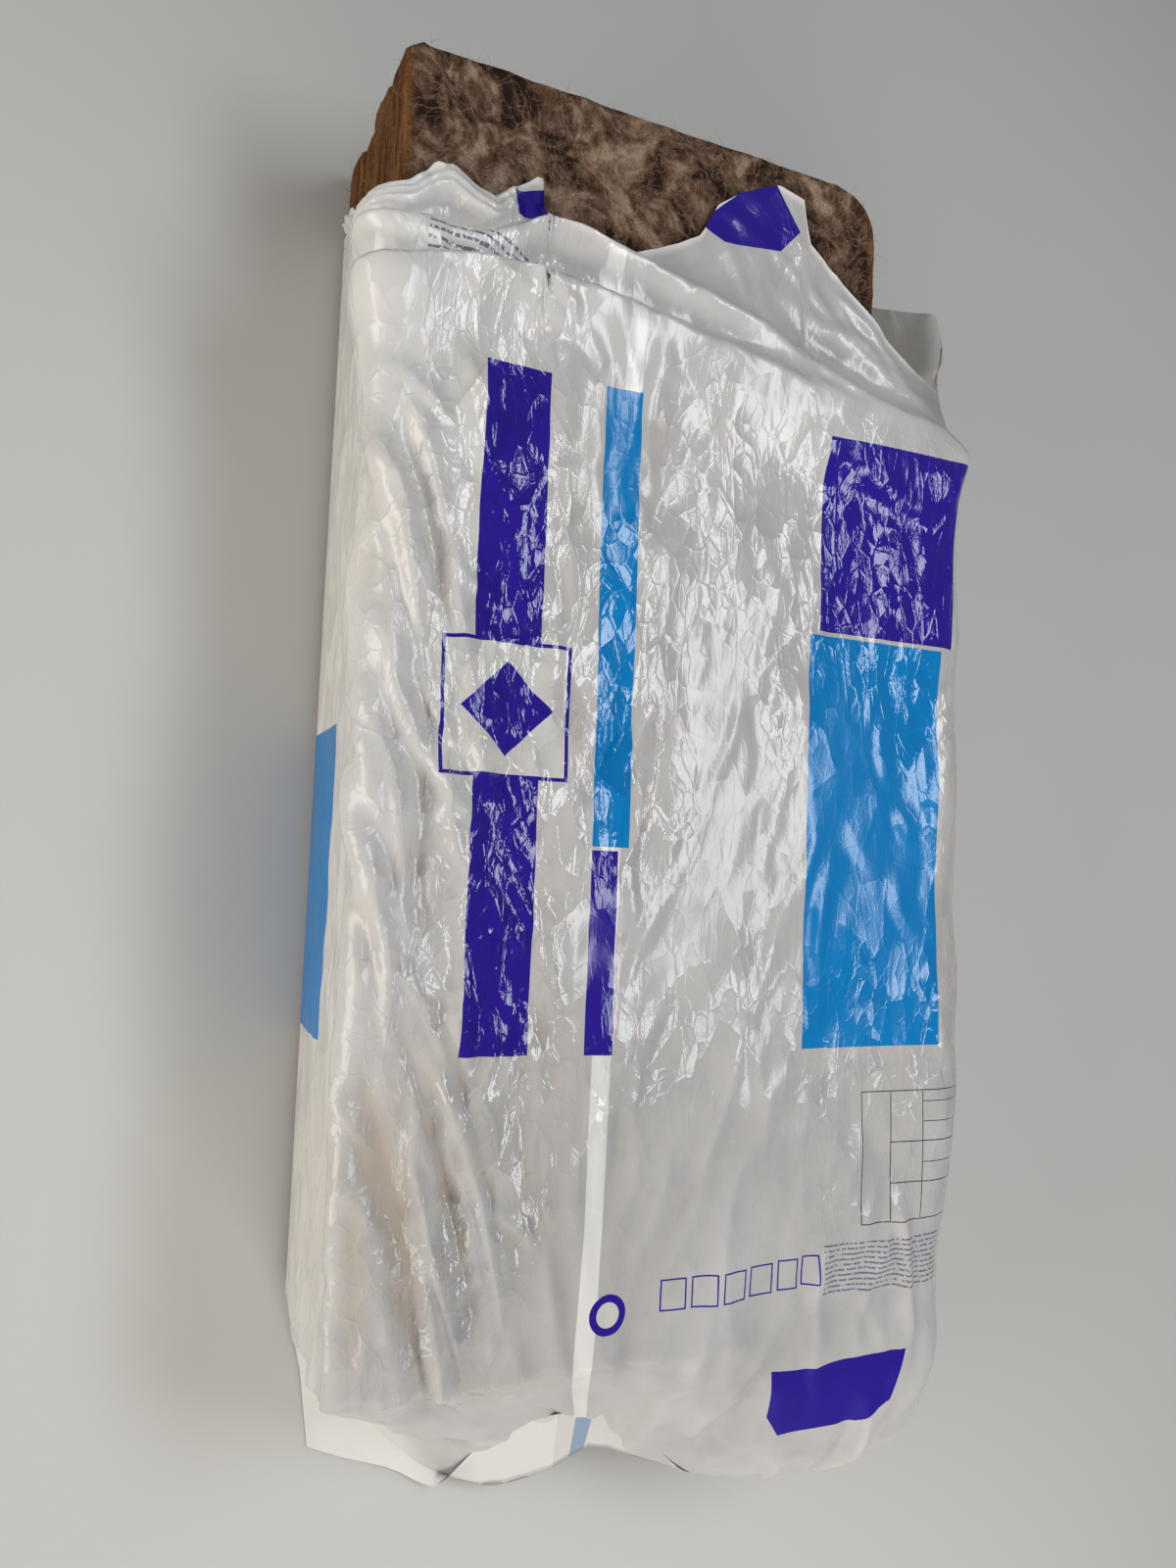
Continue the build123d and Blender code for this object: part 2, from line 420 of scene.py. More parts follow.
def crumple_group() -> bpy.types.NodeTree:
    """The small creases of film, as a normal: random flat facets of two sizes, and pinched lines."""
    tree = bpy.data.node_groups.new("film_crumple", "ShaderNodeTree")
    for way, kind, labels in (
        ("INPUT", "Vector", ("Film",)),
        ("INPUT", "Float", ("Crush", "Large", "Small", "Lines")),
        ("OUTPUT", "Vector", ("Normal",)),
        ("OUTPUT", "Float", ("Crushed",)),
    ):
        for label in labels:
            tree.interface.new_socket(label, in_out=way, socket_type=f"NodeSocket{kind}")
    group = NodeBuilder(tree)
    source, target = tree.nodes.new("NodeGroupInput"), tree.nodes.new("NodeGroupOutput")
    film, centre = source.outputs["Film"], (0.5, 0.5, 0.5)
    more = group.times(group.minus(source.outputs["Crush"], 0.5), 0.5)
    crushed = group.ramp(group.plus(group.noise(film, 6.0, 2.0), more), 0.42, 0.60)
    wander = group.vector("SUBTRACT", group.noise(film, 13.0, 2.0, out="Color"), centre)
    film = group.vector("ADD", film, group.vector("SCALE", wander, scale=0.042))
    normal = group.add("NewGeometry").outputs["Normal"]
    pinched: Value = 0.0
    for scale, name, least, share in ((30.0, "Large", 0.30, 1.0), (78.0, "Small", 0.20, 0.6)):
        cells = group.add("TexVoronoi", {"Vector": film, "Scale": scale})
        tilt = group.vector("SUBTRACT", cells.outputs["Color"], centre)
        amount = group.times(source.outputs[name], group.ramp(crushed, 0.0, 1.0, least))
        normal = group.vector("ADD", normal, group.vector("SCALE", tilt, scale=amount))
        edges = group.add("TexVoronoi", {"Vector": film, "Scale": scale}, feature="DISTANCE_TO_EDGE")
        crest = group.ramp(edges.outputs["Distance"], 0.0, 0.10, 1.0, 0.0)
        pinched = group.plus(pinched, group.times(crest, share))
    ridge = group.gap(group.noise(film, 120.0, 3.0, 0.6), 0.5)
    bump = {
        "Distance": 0.0014,
        "Strength": group.times(source.outputs["Lines"], group.ramp(crushed, 0.0, 1.0, 0.30)),
        "Height": group.plus(ridge, group.times(pinched, 0.5)),
        "Normal": group.vector("NORMALIZE", normal),
    }
    group.fill(target, {"Normal": group.add("Bump", bump).outputs["Normal"], "Crushed": crushed})
    return tree


class Ink(Enum):
    """The inks that the film is printed with."""

    ULTRAMARINE = (0.020, 0.008, 0.27, 1.0)
    CYAN = (0.0, 0.20, 0.53, 1.0)
    GREY = (0.16, 0.17, 0.24, 1.0)
    BARE = (0.60, 0.588, 0.57, 1.0)
    BLACK = (0.03, 0.03, 0.035, 1.0)
    STEEL = (0.22, 0.31, 0.48, 1.0)


class Stencil(NodeBuilder):
    """Makes masks over the film: 1 on a plain printed form, and 0 beside it."""

    def __init__(self, tree: bpy.types.NodeTree, along: Socket, across: Socket) -> None:
        """Keeps the sockets of the film's own coordinates, besides the tree."""
        super().__init__(tree)
        self.along, self.across = along, across

    def rect(self, box: Rect) -> Value:
        """A filled rectangle."""
        near, far, front, back = box
        return self.times(self.within(self.along, near, far), self.within(self.across, front, back))

    def frame(self, box: Rect, width: float) -> Socket:
        """A rectangle's outline."""
        near, far, front, back = box
        inner = self.rect((near + width, far - width, front + width, back - width))
        return self.minus(self.rect(box), inner)

    def diamond(self, box: Rect) -> Socket:
        """A diamond that fills the box."""
        near, far, front, back = box
        off_u = self.gap(self.along, (near + far) / 2)
        off_v = self.gap(self.across, (front + back) / 2)
        return self.math("LESS_THAN", self.plus(off_u, off_v), (far - near) / 2)

    def ruled(self, rect: Rect, pitch: float) -> Value:
        """The thin, broken lines of a ruled block."""
        line = self.math("LESS_THAN", self.math("FRACT", self.times(self.along, 1 / pitch)), 0.38)
        place = self.add("CombineXYZ", {0: self.along, 1: self.across}).outputs[0]
        broken = self.math("GREATER_THAN", self.noise(place, 260.0, 1.0), 0.44)
        return self.times(line, broken, self.rect(rect))

    def patch(self, outline: tuple[Point2, ...]) -> Value:
        """A filled convex outline."""
        centre = np.mean(outline, axis=0)
        mask: Value = 1.0
        for (u, v), (next_u, next_v) in zip(outline, outline[1:] + outline[:1]):
            side_u, side_v = next_v - v, u - next_u
            level = side_u * u + side_v * v
            if side_u * centre[0] + side_v * centre[1] < level:
                side_u, side_v, level = -side_u, -side_v, -level
            height = self.weighted(self.along, side_u, self.across, side_v)
            mask = self.times(mask, self.math("GREATER_THAN", height, level))
        return mask

    def disc(self, place: float, middle: float, radius: float) -> Socket:
        """A filled circle."""
        off_u, off_v = self.minus(self.along, place), self.minus(self.across, middle)
        squares = self.plus(self.times(off_u, off_u), self.times(off_v, off_v))
        return self.math("LESS_THAN", self.math("SQRT", squares), radius)

    def band(self, middle: Track, width: float) -> Socket:
        """A band along the film, with its middle on a track."""
        curve = self.add("FloatCurve")
        line = curve.mapping.curves[0]
        length, reach = middle.places[-1], 0.5
        while len(line.points) < len(middle.places):
            line.points.new(0.5, 0.5)
        for point, place, value in zip(line.points, middle.places, middle.values):
            point.location = (place / length, value / reach)
            point.handle_type = "VECTOR"
        curve.mapping.update()
        self.fill(curve, {"Value": self.times(self.along, 1 / length)})
        off = self.gap(self.across, self.times(curve.outputs["Value"], reach))
        return self.math("LESS_THAN", off, width / 2)


@dataclass(frozen=True)
class FilmFinish:
    """Glossy white polythene film with plain printed bars, in the film's own coordinates.

    A rectangle is (nearest, furthest, front, back): its reach along the film from the boards' open
    end, and across it from the pack's front top edge, in metres. A disc is its centre there and its
    radius, and a patch is a convex outline. Later prints lie over earlier ones.
    """

    # The film's colours: one layer of it; two or more, which also serves as painted light where the film is
    # drawn paler; and one that lies on the wool, partly the wool showing through and partly painted shade
    single: Colour = (0.422, 0.416, 0.420, 1.0)
    doubled_and_lit: Colour = (0.80, 0.790, 0.775, 1.0)
    wool_tint_and_shade: Colour = (0.425, 0.368, 0.308, 1.0)
    fills: tuple[tuple[Ink, tuple[Rect, ...]], ...] = (
        (
            Ink.ULTRAMARINE,
            (
                (0.328, 0.640, 0.103, 0.175),
                (0.700, 1.038, 0.106, 0.178),
                (0.829, 1.040, 0.240, 0.270),
                (0.338, 0.563, 0.518, 0.712),
            ),
        ),
        (
            Ink.CYAN,
            ((0.327, 0.825, 0.240, 0.283), (0.568, 1.041, 0.505, 0.694), (0.700, 1.040, -0.275, -0.135)),
        ),
        (Ink.STEEL, ((1.450, 2.300, 1.349, 1.376),)),
        (Ink.BARE, ((0.618, 0.760, 0.070, 0.210),)),
        (
            Ink.BLACK,
            (
                (1.094, 1.238, 0.628, 0.6292),
                (1.094, 1.238, 0.672, 0.6732),
                (1.150, 1.1512, 0.629, 0.738),
                (1.196, 1.1972, 0.629, 0.738),
                (1.105, 1.1060, 0.673, 0.738),
                (1.128, 1.1290, 0.673, 0.738),
                (1.174, 1.1750, 0.673, 0.738),
            ),
        ),
    )
    # Each group of frames has an ink and a line width of its own.
    frames: tuple[tuple[Ink, float, tuple[Rect, ...]], ...] = (
        (Ink.ULTRAMARINE, 0.004, ((0.618, 0.760, 0.070, 0.210), (0.640, 0.775, 0.748, 0.880))),
        (
            Ink.ULTRAMARINE,
            0.0018,
            (
                (1.2750, 1.3080, 0.338, 0.368),
                (1.2745, 1.3075, 0.374, 0.404),
                (1.2735, 1.3065, 0.410, 0.440),
                (1.2720, 1.3050, 0.446, 0.476),
                (1.2700, 1.3030, 0.482, 0.508),
                (1.2680, 1.3000, 0.513, 0.534),
            ),
        ),
        (Ink.BLACK, 0.0012, ((1.092, 1.240, 0.588, 0.740),)),
    )
    diamond: Rect = (0.640, 0.738, 0.091, 0.189)
    ruled: tuple[Rect, ...] = ((1.256, 1.315, 0.540, 0.712), (0.212, 0.243, 0.030, 0.155))
    ruled_pitch: float = 0.0058
    discs: tuple[tuple[Ink, Point3], ...] = (
        (Ink.ULTRAMARINE, (1.304, 0.278, 0.021)),
        (Ink.BARE, (1.304, 0.278, 0.01302)),
    )
    patches: tuple[tuple[Point2, ...], ...] = (
        ((0.143, 0.122), (0.168, 0.128), (0.168, 0.163), (0.126, 0.166)),
        ((0.106, 0.350), (0.055, 0.404), (0.033, 0.452), (0.081, 0.487), (0.112, 0.460), (0.123, 0.382)),
        ((1.395, 0.484), (1.381, 0.656), (1.440, 0.650), (1.468, 0.610), (1.480, 0.506), (1.450, 0.484)),
    )
    seam: Track = Track(
        (0.184, 0.225, 0.252, 0.325, 1.043, 1.213, 1.397, 1.60),
        (0.238, 0.244, 0.270, 0.272, 0.259, 0.258, 0.252, 0.245),
    )
    seam_width: float = 0.020

    def printed(self, stencil: Stencil, colour: Value) -> Value:
        """The film's colour with its prints on it."""
        forms = [(ink, stencil.rect(box)) for ink, boxes in self.fills for box in boxes]
        forms += [(ink, stencil.frame(box, width)) for ink, width, boxes in self.frames for box in boxes]
        forms += [(Ink.ULTRAMARINE, stencil.diamond(self.diamond))]
        forms += [(Ink.GREY, stencil.ruled(rect, self.ruled_pitch)) for rect in self.ruled]
        forms += [(ink, stencil.disc(*disc)) for ink, disc in self.discs]
        forms += [(Ink.ULTRAMARINE, stencil.patch(patch)) for patch in self.patches]
        for ink, mask in forms:
            colour = stencil.mix(mask, colour, ink.value)
        return colour

    def material(self) -> bpy.types.Material:
        """The film's material."""
        material, build, shader = new_material("white_film")
        film = build.add("UVMap", uv_map="film").outputs["UV"]
        along, across, _ = build.add("SeparateXYZ", {0: film}).outputs
        stencil = Stencil(build.tree, along, across)

        cloudy = build.ramp(build.noise(film, 9.0, 5.0, 0.6), 0.3, 0.7)
        colour = build.mix(build.times(cloudy, 0.26), self.single, self.doubled_and_lit)
        # Browner where the film lies on the boards: partly the wool showing through it, partly painted shade
        # near the front edge, in streaks and in the film's valleys
        streaks = build.noise(build.scaled(film, (0.35, 1.0, 1.0)), 9.0, 4.0, 0.6)
        near_front = build.ramp(across, 0.06, 0.30, 0.90, 0.18)
        on_boards = build.times(near_front, build.ramp(along, 1.22, 1.44, 1.0, 0.15))
        stand = build.mark("stand")
        in_valleys = build.minus(1.0, stand)
        tint_and_shade_share = build.math("MAXIMUM", build.times(build.ramp(streaks, 0.42, 0.60), 0.55), in_valleys)
        colour = build.mix(build.times(tint_and_shade_share, on_boards), colour, self.wool_tint_and_shade)
        # Painted light: the front side, and the top towards the open end and the front, are drawn paler; so
        # are the ridges where the film stands off the wool, partly as no wool shows through there and partly
        # as painted light. The lap seam and the marked layers are doubled film.
        lapped = build.times(stencil.band(self.seam, self.seam_width), 0.8)
        painted_light_front_side = build.ramp(across, -0.05, 0.03, 0.55, 0.0)
        painted_light_near_mouth = build.times(build.ramp(along, 0.5, 1.15, 0.45, 0.0), build.ramp(across, 0.10, 0.26, 1.0, 0.15))
        for paler in (build.times(stand, stand, 0.16), lapped, painted_light_front_side, painted_light_near_mouth, build.mark("layers")):
            colour = build.mix(paler, colour, self.doubled_and_lit)

        quiet = build.ramp(along, 1.35, 1.42, 1.0, 0.10)
        facets = build.times(build.ramp(across, 0.02, 0.10, 0.55, 1.0), quiet)
        broad = build.times(build.ramp(across, 0.26, 0.34, 1.0, 0.70), facets)
        creases = {
            "Film": build.scaled(film, (0.5, 1.0, 1.0)),
            "Crush": build.mark("crush"),
            "Large": build.times(broad, 0.42),
            "Small": build.times(facets, 0.25),
            "Lines": build.times(quiet, 0.62),
        }
        crumple = build.add("Group", creases, node_tree=crumple_group())
        gloss = build.ramp(crumple.outputs["Crushed"], 0.0, 1.0, 0.24, 0.11)
        surface = {
            "Base Color": self.printed(stencil, colour),
            "Normal": crumple.outputs["Normal"],
            "Roughness": build.plus(gloss, build.ramp(across, 0.03, 0.10, 0.16, 0.0)),
            "IOR": 1.52,
        }
        build.fill(shader, surface)

        # Where the film hangs free of the wool, it lets through part of the light behind it.
        behind = build.add("BsdfTranslucent", {"Color": (0.97, 0.94, 0.91, 1.0)})
        loose = build.times(build.mark("loose"), 0.45)
        blend = build.add("MixShader", {"Fac": loose, 1: shader.outputs["BSDF"], 2: behind.outputs["BSDF"]})
        build.fill(material.node_tree.nodes["Material Output"], {"Surface": blend.outputs["Shader"]})
        return material


WELD_SHARES = (0.0, 0.12, 0.22, 0.30, 0.49, 0.58, 0.66, 1.0)  # places along the weld, from its front


@dataclass
class FilmBag:
    """The bag: a tube of film around the boards, torn open at one end and welded at the other.

    The film has coordinates of its own, in metres. The first runs along it from the boards' open end.
    The second runs across it from the pack's front top edge: back over the top, or down the front
    where it is negative.
    """

    front: float = -0.3085
    top: float = 0.2845
    floor: float = 0.0008
    open_end: float = -0.675
    half_width: float = 0.30
    shown_pitch: float = 0.0056
    fine_pitch: float = 0.0040
    front_fine: Point2 = (-0.06, 0.20)  # across the film, where it is most creased
    row_pitch: float = 0.0064
    edge_pitch: float = 0.0026
    pleat_pitch: float = 0.0034
    hidden_pitch: float = 0.034
    front_columns: int = 40  # from the front's foot to the most creased part
    edge_zone: float = 0.03  # how far from the torn edge and the pleats the rows are close together
    pleat_zone: float = 0.022
    front_foot: float = -0.290  # across the film, where the front meets the floor
    back_foot: float = 1.045  # and where the back does
    hidden_width: float = 0.36  # each half of the film under the boards
    mouth_end: float = -0.69  # along the pack, the film's least place and the start of its tail
    tail_start: float = 0.680
    stations: int = 48  # sections that are worked out between the two
    edge_samples: int = 1400  # places along a column that the rows' spacing is worked out from
    tail_rows: int = 44
    fin_rows: int = 8
    fin_half_wall: float = 0.0005
    fin_layers: float = 0.42  # how far its second layer whitens the film
    calm_rows: int = 20  # before the weld, where the crumples die away
    front_ear: float = -0.255  # across the film, the fold that ends in the weld's front ear
    back_ear: float = 0.850
    least_top: float = 0.2830
    least_front: float = -0.3078
    boards_reach: Point2 = (0.677, 0.303)  # half the room that the boards take up, along and across
    above: float = 0.22  # film this high is over the boards
    beside: Point2 = (0.012, 0.275)  # and between these heights it is beside them
    most_top: float = 0.3220
    most_front: float = -0.3455
    give: float = 0.008  # how softly the film is held at the last two
    corner_radii: tuple[float, ...] = (0.045, 0.014, 0.055, 0.035)  # from the front foot to the back foot
    sole_ahead: float = 0.06  # how far the film below the boards goes on, and drops, before the weld
    sole_drop: float = 0.03
    flank_inset: float = 0.034  # how far the tail is drawn in behind the ear
    reach: Track = Track(
        (-0.69, -0.62, -0.52, -0.475, -0.44, -0.37, -0.30, 0.1, 0.45, 0.69),
        (0.150, 0.165, 0.165, 0.138, 0.138, 0.142, 0.153, 0.157, 0.154, 0.130),
    )
    foot: Track = Track((-0.69, -0.34, 0.45, 0.69), (0.09, 0.10, 0.10, 0.08))
    rise: Track = Track((-0.69, -0.45, -0.34, 0.45, 0.69), (0.0, 0.0, 0.018, 0.018, 0.008))
    droop: Track = Track((-0.69, -0.56, -0.48, -0.38), (0.040, 0.030, 0.015, 0.0))
    mouth: tuple[Point2, ...] = (
        (-0.285, 0.073), (-0.200, 0.088), (-0.120, 0.122), (-0.060, 0.168), (-0.020, 0.186),
        (0.010, 0.170), (0.035, 0.147), (0.053, 0.139), (0.075, 0.152), (0.100, 0.158), (0.148, 0.119),
        (0.156, 0.116), (0.162, 0.168), (0.202, 0.176), (0.232, 0.183), (0.328, 0.137), (0.353, 0.121),
        (0.374, 0.079), (0.404, 0.056), (0.454, 0.032), (0.492, 0.040), (0.500, 0.090), (0.548, 0.125),
        (0.600, 0.165), (0.645, 0.198), (0.668, 0.214), (0.690, 0.228), (0.705, 0.230), (0.722, 0.205),
        (0.740, 0.163), (0.755, 0.094), (0.775, 0.076), (0.810, 0.060), (0.840, 0.048), (0.900, 0.022),
        (1.045, 0.040),
    )
    pleats: tuple[Pleat, ...] = (
        Pleat(
            (
                (0.238, -0.06), (0.222, 0.02), (0.222, 0.07), (0.204, 0.12), (0.178, 0.17),
                (0.188, 0.25), (0.224, 0.415), (0.262, 0.51), (0.300, 0.615), (0.318, 0.72),
            ),
            height=0.026, mouth_side=0.011, pack_side=0.016, lean=0.010, wider=2.2,
        ),
        Pleat(
            (
                (0.300, -0.08), (0.262, 0.02), (0.250, 0.07), (0.240, 0.155), (0.246, 0.25),
                (0.260, 0.355), (0.296, 0.51), (0.322, 0.62), (0.330, 0.72),
            ),
            height=0.024, mouth_side=0.008, pack_side=0.034, lean=0.014, wider=2.0,
        ),
    )
    folds: tuple[Crease, ...] = (
        Crease((0.34, -0.045), (0.66, 0.060), 0.014, 0.012, 0.012, 0.9, 2.0),
        Crease((0.36, -0.015), (0.62, 0.085), 0.009, -0.009, 0.010, 0.9),
        Crease((0.37, 0.020), (0.56, 0.082), 0.012, 0.011, 0.006, 0.9, 2.0),
        Crease((0.50, -0.050), (0.88, 0.035), 0.013, 0.011, -0.008, 0.9, 2.0),
        Crease((0.60, 0.000), (0.96, 0.066), 0.009, -0.008, 0.010, 0.9),
        Crease((0.72, -0.030), (1.04, 0.045), 0.014, 0.011, 0.012, 0.9, 2.0),
        Crease((0.90, -0.022), (1.42, -0.002), 0.009, 0.010, 0.004, 0.9),
        Crease((1.00, 0.004), (1.46, 0.112), 0.010, -0.013, 0.010, 0.9, 0.7),
        Crease((1.05, 0.040), (1.38, 0.135), 0.007, 0.011, -0.008, 0.9, 2.0),
        Crease((0.98, 0.038), (1.30, 0.140), 0.006, -0.007, 0.006, 0.9),
        Crease((1.03, 0.078), (1.33, 0.172), 0.006, 0.008, 0.012, 0.9, 2.0),
        Crease((1.05, 0.105), (1.25, 0.160), 0.005, -0.006, 0.006, 0.9),
        Crease((1.12, 0.175), (1.42, 0.262), 0.012, -0.006, 0.010),
        Crease((1.24, 0.320), (1.45, 0.300), 0.012, -0.006, -0.010),
        Crease((1.20, 0.420), (1.45, 0.360), 0.012, 0.005, 0.010),
        Crease((1.30, 0.540), (1.49, 0.425), 0.014, -0.009, -0.010),
        Crease((1.05, 0.420), (1.30, 0.330), 0.009, 0.003, 0.010),
        Crease((0.150, 0.44), (0.285, 0.70), 0.013, 0.007, 0.010),
        Crease((0.185, 0.40), (0.300, 0.66), 0.011, -0.006, 0.010),
        Crease((0.330, 0.44), (0.420, 0.70), 0.018, 0.006),
        Crease((0.130, 0.52), (0.240, 0.66), 0.009, 0.005, 0.010),
    )
    creases: tuple[CreaseBand, ...] = (
        CreaseBand((0.3, -0.1), (1.4, 0.12), 44, 10, 9, (0.1, 0.3), (0.008, 0.015), (0.003, 0.008), 5),
        CreaseBand((0.36, 0.0), (1.34, 0.17), 90, 14, 26, (0.04, 0.12), (0.005, 0.008), (0.002, 0.005), 15),
        CreaseBand((0.25, -0.28), (1.4, -0.02), 42, 4, 12, (0.1, 0.3), (0.009, 0.018), (0.004, 0.009), 6),
        CreaseBand((0.28, 0.1), (1.3, 0.3), 64, 3, 12, (0.06, 0.2), (0.006, 0.011), (0.001, 0.0032), 7),
        CreaseBand((0.28, 0.28), (1.3, 0.52), 70, -17, 8, (0.08, 0.26), (0.006, 0.011), (0.001, 0.0032), 8),
        CreaseBand((0.3, 0.5), (1.4, 0.8), 50, -4, 14, (0.06, 0.2), (0.007, 0.012), (0.001, 0.0036), 9),
        CreaseBand((0.14, 0.12), (0.3, 0.6), 26, 52, 16, (0.05, 0.12), (0.007, 0.011), (0.0015, 0.004), 10),
        CreaseBand((0.09, -0.04), (0.27, 0.2), 34, 70, 22, (0.05, 0.14), (0.004, 0.008), (0.002, 0.005), 16),
        CreaseBand((0.09, 0.34), (0.3, 0.66), 26, 60, 25, (0.05, 0.14), (0.005, 0.009), (0.0015, 0.004), 17),
        CreaseBand((1.25, 0.0), (1.6, 0.7), 36, 6, 15, (0.08, 0.24), (0.009, 0.016), (0.003, 0.008), 12),
        CreaseBand((0.25, 0.78), (1.45, 1.0), 30, 8, 25, (0.08, 0.24), (0.01, 0.018), (0.003, 0.007), 13),
    )
    weld: tuple[Point3, ...] = (
        (0.765, -0.285, 0.003), (0.785, -0.238, 0.020), (0.843, -0.186, 0.024), (0.895, -0.124, 0.020),
        (0.922, -0.048, 0.030), (0.905, 0.014, 0.050), (0.862, 0.049, 0.095), (0.889, 0.123, 0.100),
        (0.908, 0.182, 0.105), (0.906, 0.254, 0.135), (0.890, 0.297, 0.160), (0.872, 0.350, 0.175),
        (0.838, 0.395, 0.195), (0.790, 0.425, 0.215),
    )
    fin_edge: tuple[Point3, ...] = (
        (0.853, -0.272, 0.002), (0.874, -0.225, 0.002), (0.892, -0.175, 0.004), (0.917, -0.122, 0.016),
        (0.813, -0.085, 0.124), (0.781, -0.031, 0.168), (0.791, 0.033, 0.159), (0.843, 0.101, 0.135),
        (0.900, 0.173, 0.124), (0.905, 0.250, 0.100), (0.892, 0.292, 0.115), (0.874, 0.345, 0.128),
        (0.842, 0.390, 0.150), (0.795, 0.420, 0.172),
    )
    # How the tail swells before the weld: how far it goes on beyond the boards, and how far above and
    # behind the weld it comes down
    bulge_ahead: Track = Track(WELD_SHARES, (0.03, 0.06, 0.05, 0.03, 0.03, 0.05, 0.10, 0.09))
    weld_rise: Track = Track(WELD_SHARES, (0.03, 0.07, 0.06, 0.035, 0.04, 0.05, 0.085, 0.06))
    weld_back: Track = Track(WELD_SHARES, (0.03, 0.03, 0.05, 0.09, 0.07, 0.04, 0.012, 0.006))

    def section(self, x: float) -> tuple[np.ndarray, np.ndarray]:
        """The bag's outline across the pack at x, and how far across the film each point of it is."""
        corners = (
            (self.front, self.floor),
            (self.front, self.top),
            (self.half_width + float(self.reach.at(x)), self.top + float(self.rise.at(x))),
            (self.half_width + float(self.foot.at(x)), self.floor),
        )
        middle = np.array([0.0, self.floor])
        places = [middle, *map(np.array, corners), middle]
        points, front_top, steps = [middle], 0, 8
        for i, radius in enumerate(self.corner_radii):
            here = places[i + 1]
            to_before, to_after = places[i] - here, places[i + 2] - here
            to_before /= np.linalg.norm(to_before)
            to_after /= np.linalg.norm(to_after)
            half = math.acos(float(np.clip(to_before @ to_after, -1, 1))) / 2
            inwards = (to_before + to_after) / np.linalg.norm(to_before + to_after)
            centre = here + inwards * radius / math.sin(half)
            start = here + to_before * radius / math.tan(half) - centre
            for step in range(steps + 1):
                turn = -(math.pi - 2 * half) * step / steps
                c, s = math.cos(turn), math.sin(turn)
                points.append(centre + np.array([start[0] * c - start[1] * s, start[0] * s + start[1] * c]))
            if i == 1:
                front_top = len(points) - 1 - steps // 2
        points.append(middle)
        outline = np.array(points)
        lengths = run_lengths(outline)
        return outline, lengths - lengths[front_top]

    def columns(self) -> np.ndarray:
        """How far across the film each column of points lies: close together where the film shows."""
        near, far = self.front_fine
        below = round(self.hidden_width / self.hidden_pitch) + 1
        parts = [
            np.linspace(self.front_foot - self.hidden_width, self.front_foot, below)[:-1],
            np.linspace(self.front_foot, near, self.front_columns)[:-1],
            np.linspace(near, far, round((far - near) / self.fine_pitch) + 1)[:-1],
            np.linspace(far, self.back_foot, round((self.back_foot - far) / self.shown_pitch) + 1),
            np.linspace(self.back_foot, self.back_foot + self.hidden_width, below)[1:],
        ]
        return np.concatenate(parts)

    def rows(self, columns: np.ndarray) -> np.ndarray:
        """How far along the film each point of the body lies, by row and column.

        The rows are close together at the torn edge and at the pleats, and all end at the tail.
        """
        edge = np.interp(columns, *np.array(self.mouth).T)
        far = self.tail_start - self.open_end
        shares = np.linspace(0, 1, self.edge_samples)[:, None]
        along = edge + shares * (far - edge)
        calm = 1 / self.row_pitch
        density = calm + (1 / self.edge_pitch - calm) * hump(0, self.edge_zone, along - edge)
        for pleat in self.pleats:
            near = hump(0, self.pleat_zone, along - pleat.middle(columns))
            density = density + (1 / self.pleat_pitch - calm) * near
        steps = (density[1:] + density[:-1]) / 2 * np.diff(along, axis=0)
        total = np.concatenate([np.zeros((1, len(columns))), steps.cumsum(axis=0)])
        count = round(float(np.median(total[-1]))) + 1
        marks = np.linspace(0, 1, count)
        out = np.empty((count, len(columns)))
        for k in range(len(columns)):
            out[:, k] = np.interp(marks * total[-1, k], total[:, k], along[:, k])
        return out

    def wrapped(self, x: np.ndarray, columns: np.ndarray) -> np.ndarray:
        """The film laid smoothly round the pack.

        Args:
            x: The place along the pack of each point, by row and column.
            columns: How far across the film each column lies.

        Returns:
            The points' places in space.
        """
        stations = np.linspace(self.mouth_end, self.tail_start, self.stations)
        table = np.zeros((len(stations), len(columns), 2))
        true_to = 0.62  # up to here across the film, nothing is stretched
        foot_gap, front_ease = 0.03, 0.01
        for k, station in enumerate(stations):
            outline, lengths = self.section(float(station))
            places = [columns[0], self.front_foot, true_to, self.back_foot, columns[-1]]
            back = lengths[-1] - self.half_width - float(self.foot.at(station)) + foot_gap
            front = lengths[0] + self.half_width - foot_gap + front_ease
            arcs = np.interp(columns, places, [lengths[0], front, true_to, back, lengths[-1]])
            table[k, :, 0] = np.interp(arcs, lengths, outline[:, 0])
            table[k, :, 1] = np.interp(arcs, lengths, outline[:, 1])
            fallen = smooth_step(0.29, 0.42, table[k, :, 0]) * smooth_step(0.0, 0.25, table[k, :, 1])
            table[k, :, 1] -= float(self.droop.at(station)) * fallen
        share = (x - stations[0]) / (stations[1] - stations[0])
        share = np.clip(share, 0, len(stations) - 1.001)
        low = share.astype(int)
        part = (share - low)[..., None]
        column = np.broadcast_to(np.arange(len(columns)), x.shape)
        across = table[low, column] * (1 - part) + table[low + 1, column] * part
        return np.concatenate([x[..., None], across], axis=-1)

    def weld_shares(self, columns: np.ndarray) -> tuple[np.ndarray, np.ndarray]:
        """Where each column meets the weld, from 0 at the front ear to 1, and 1 where it is on top."""
        front, back = self.front_ear, self.back_ear
        over = (columns >= front) & (columns <= back)
        below = (front - columns[0]) + (columns[-1] - back)
        under = np.where(columns < front, (front - columns) / below, 1 - (columns - back) / below)
        return np.where(over, (columns - front) / (back - front), under), over.astype(float)

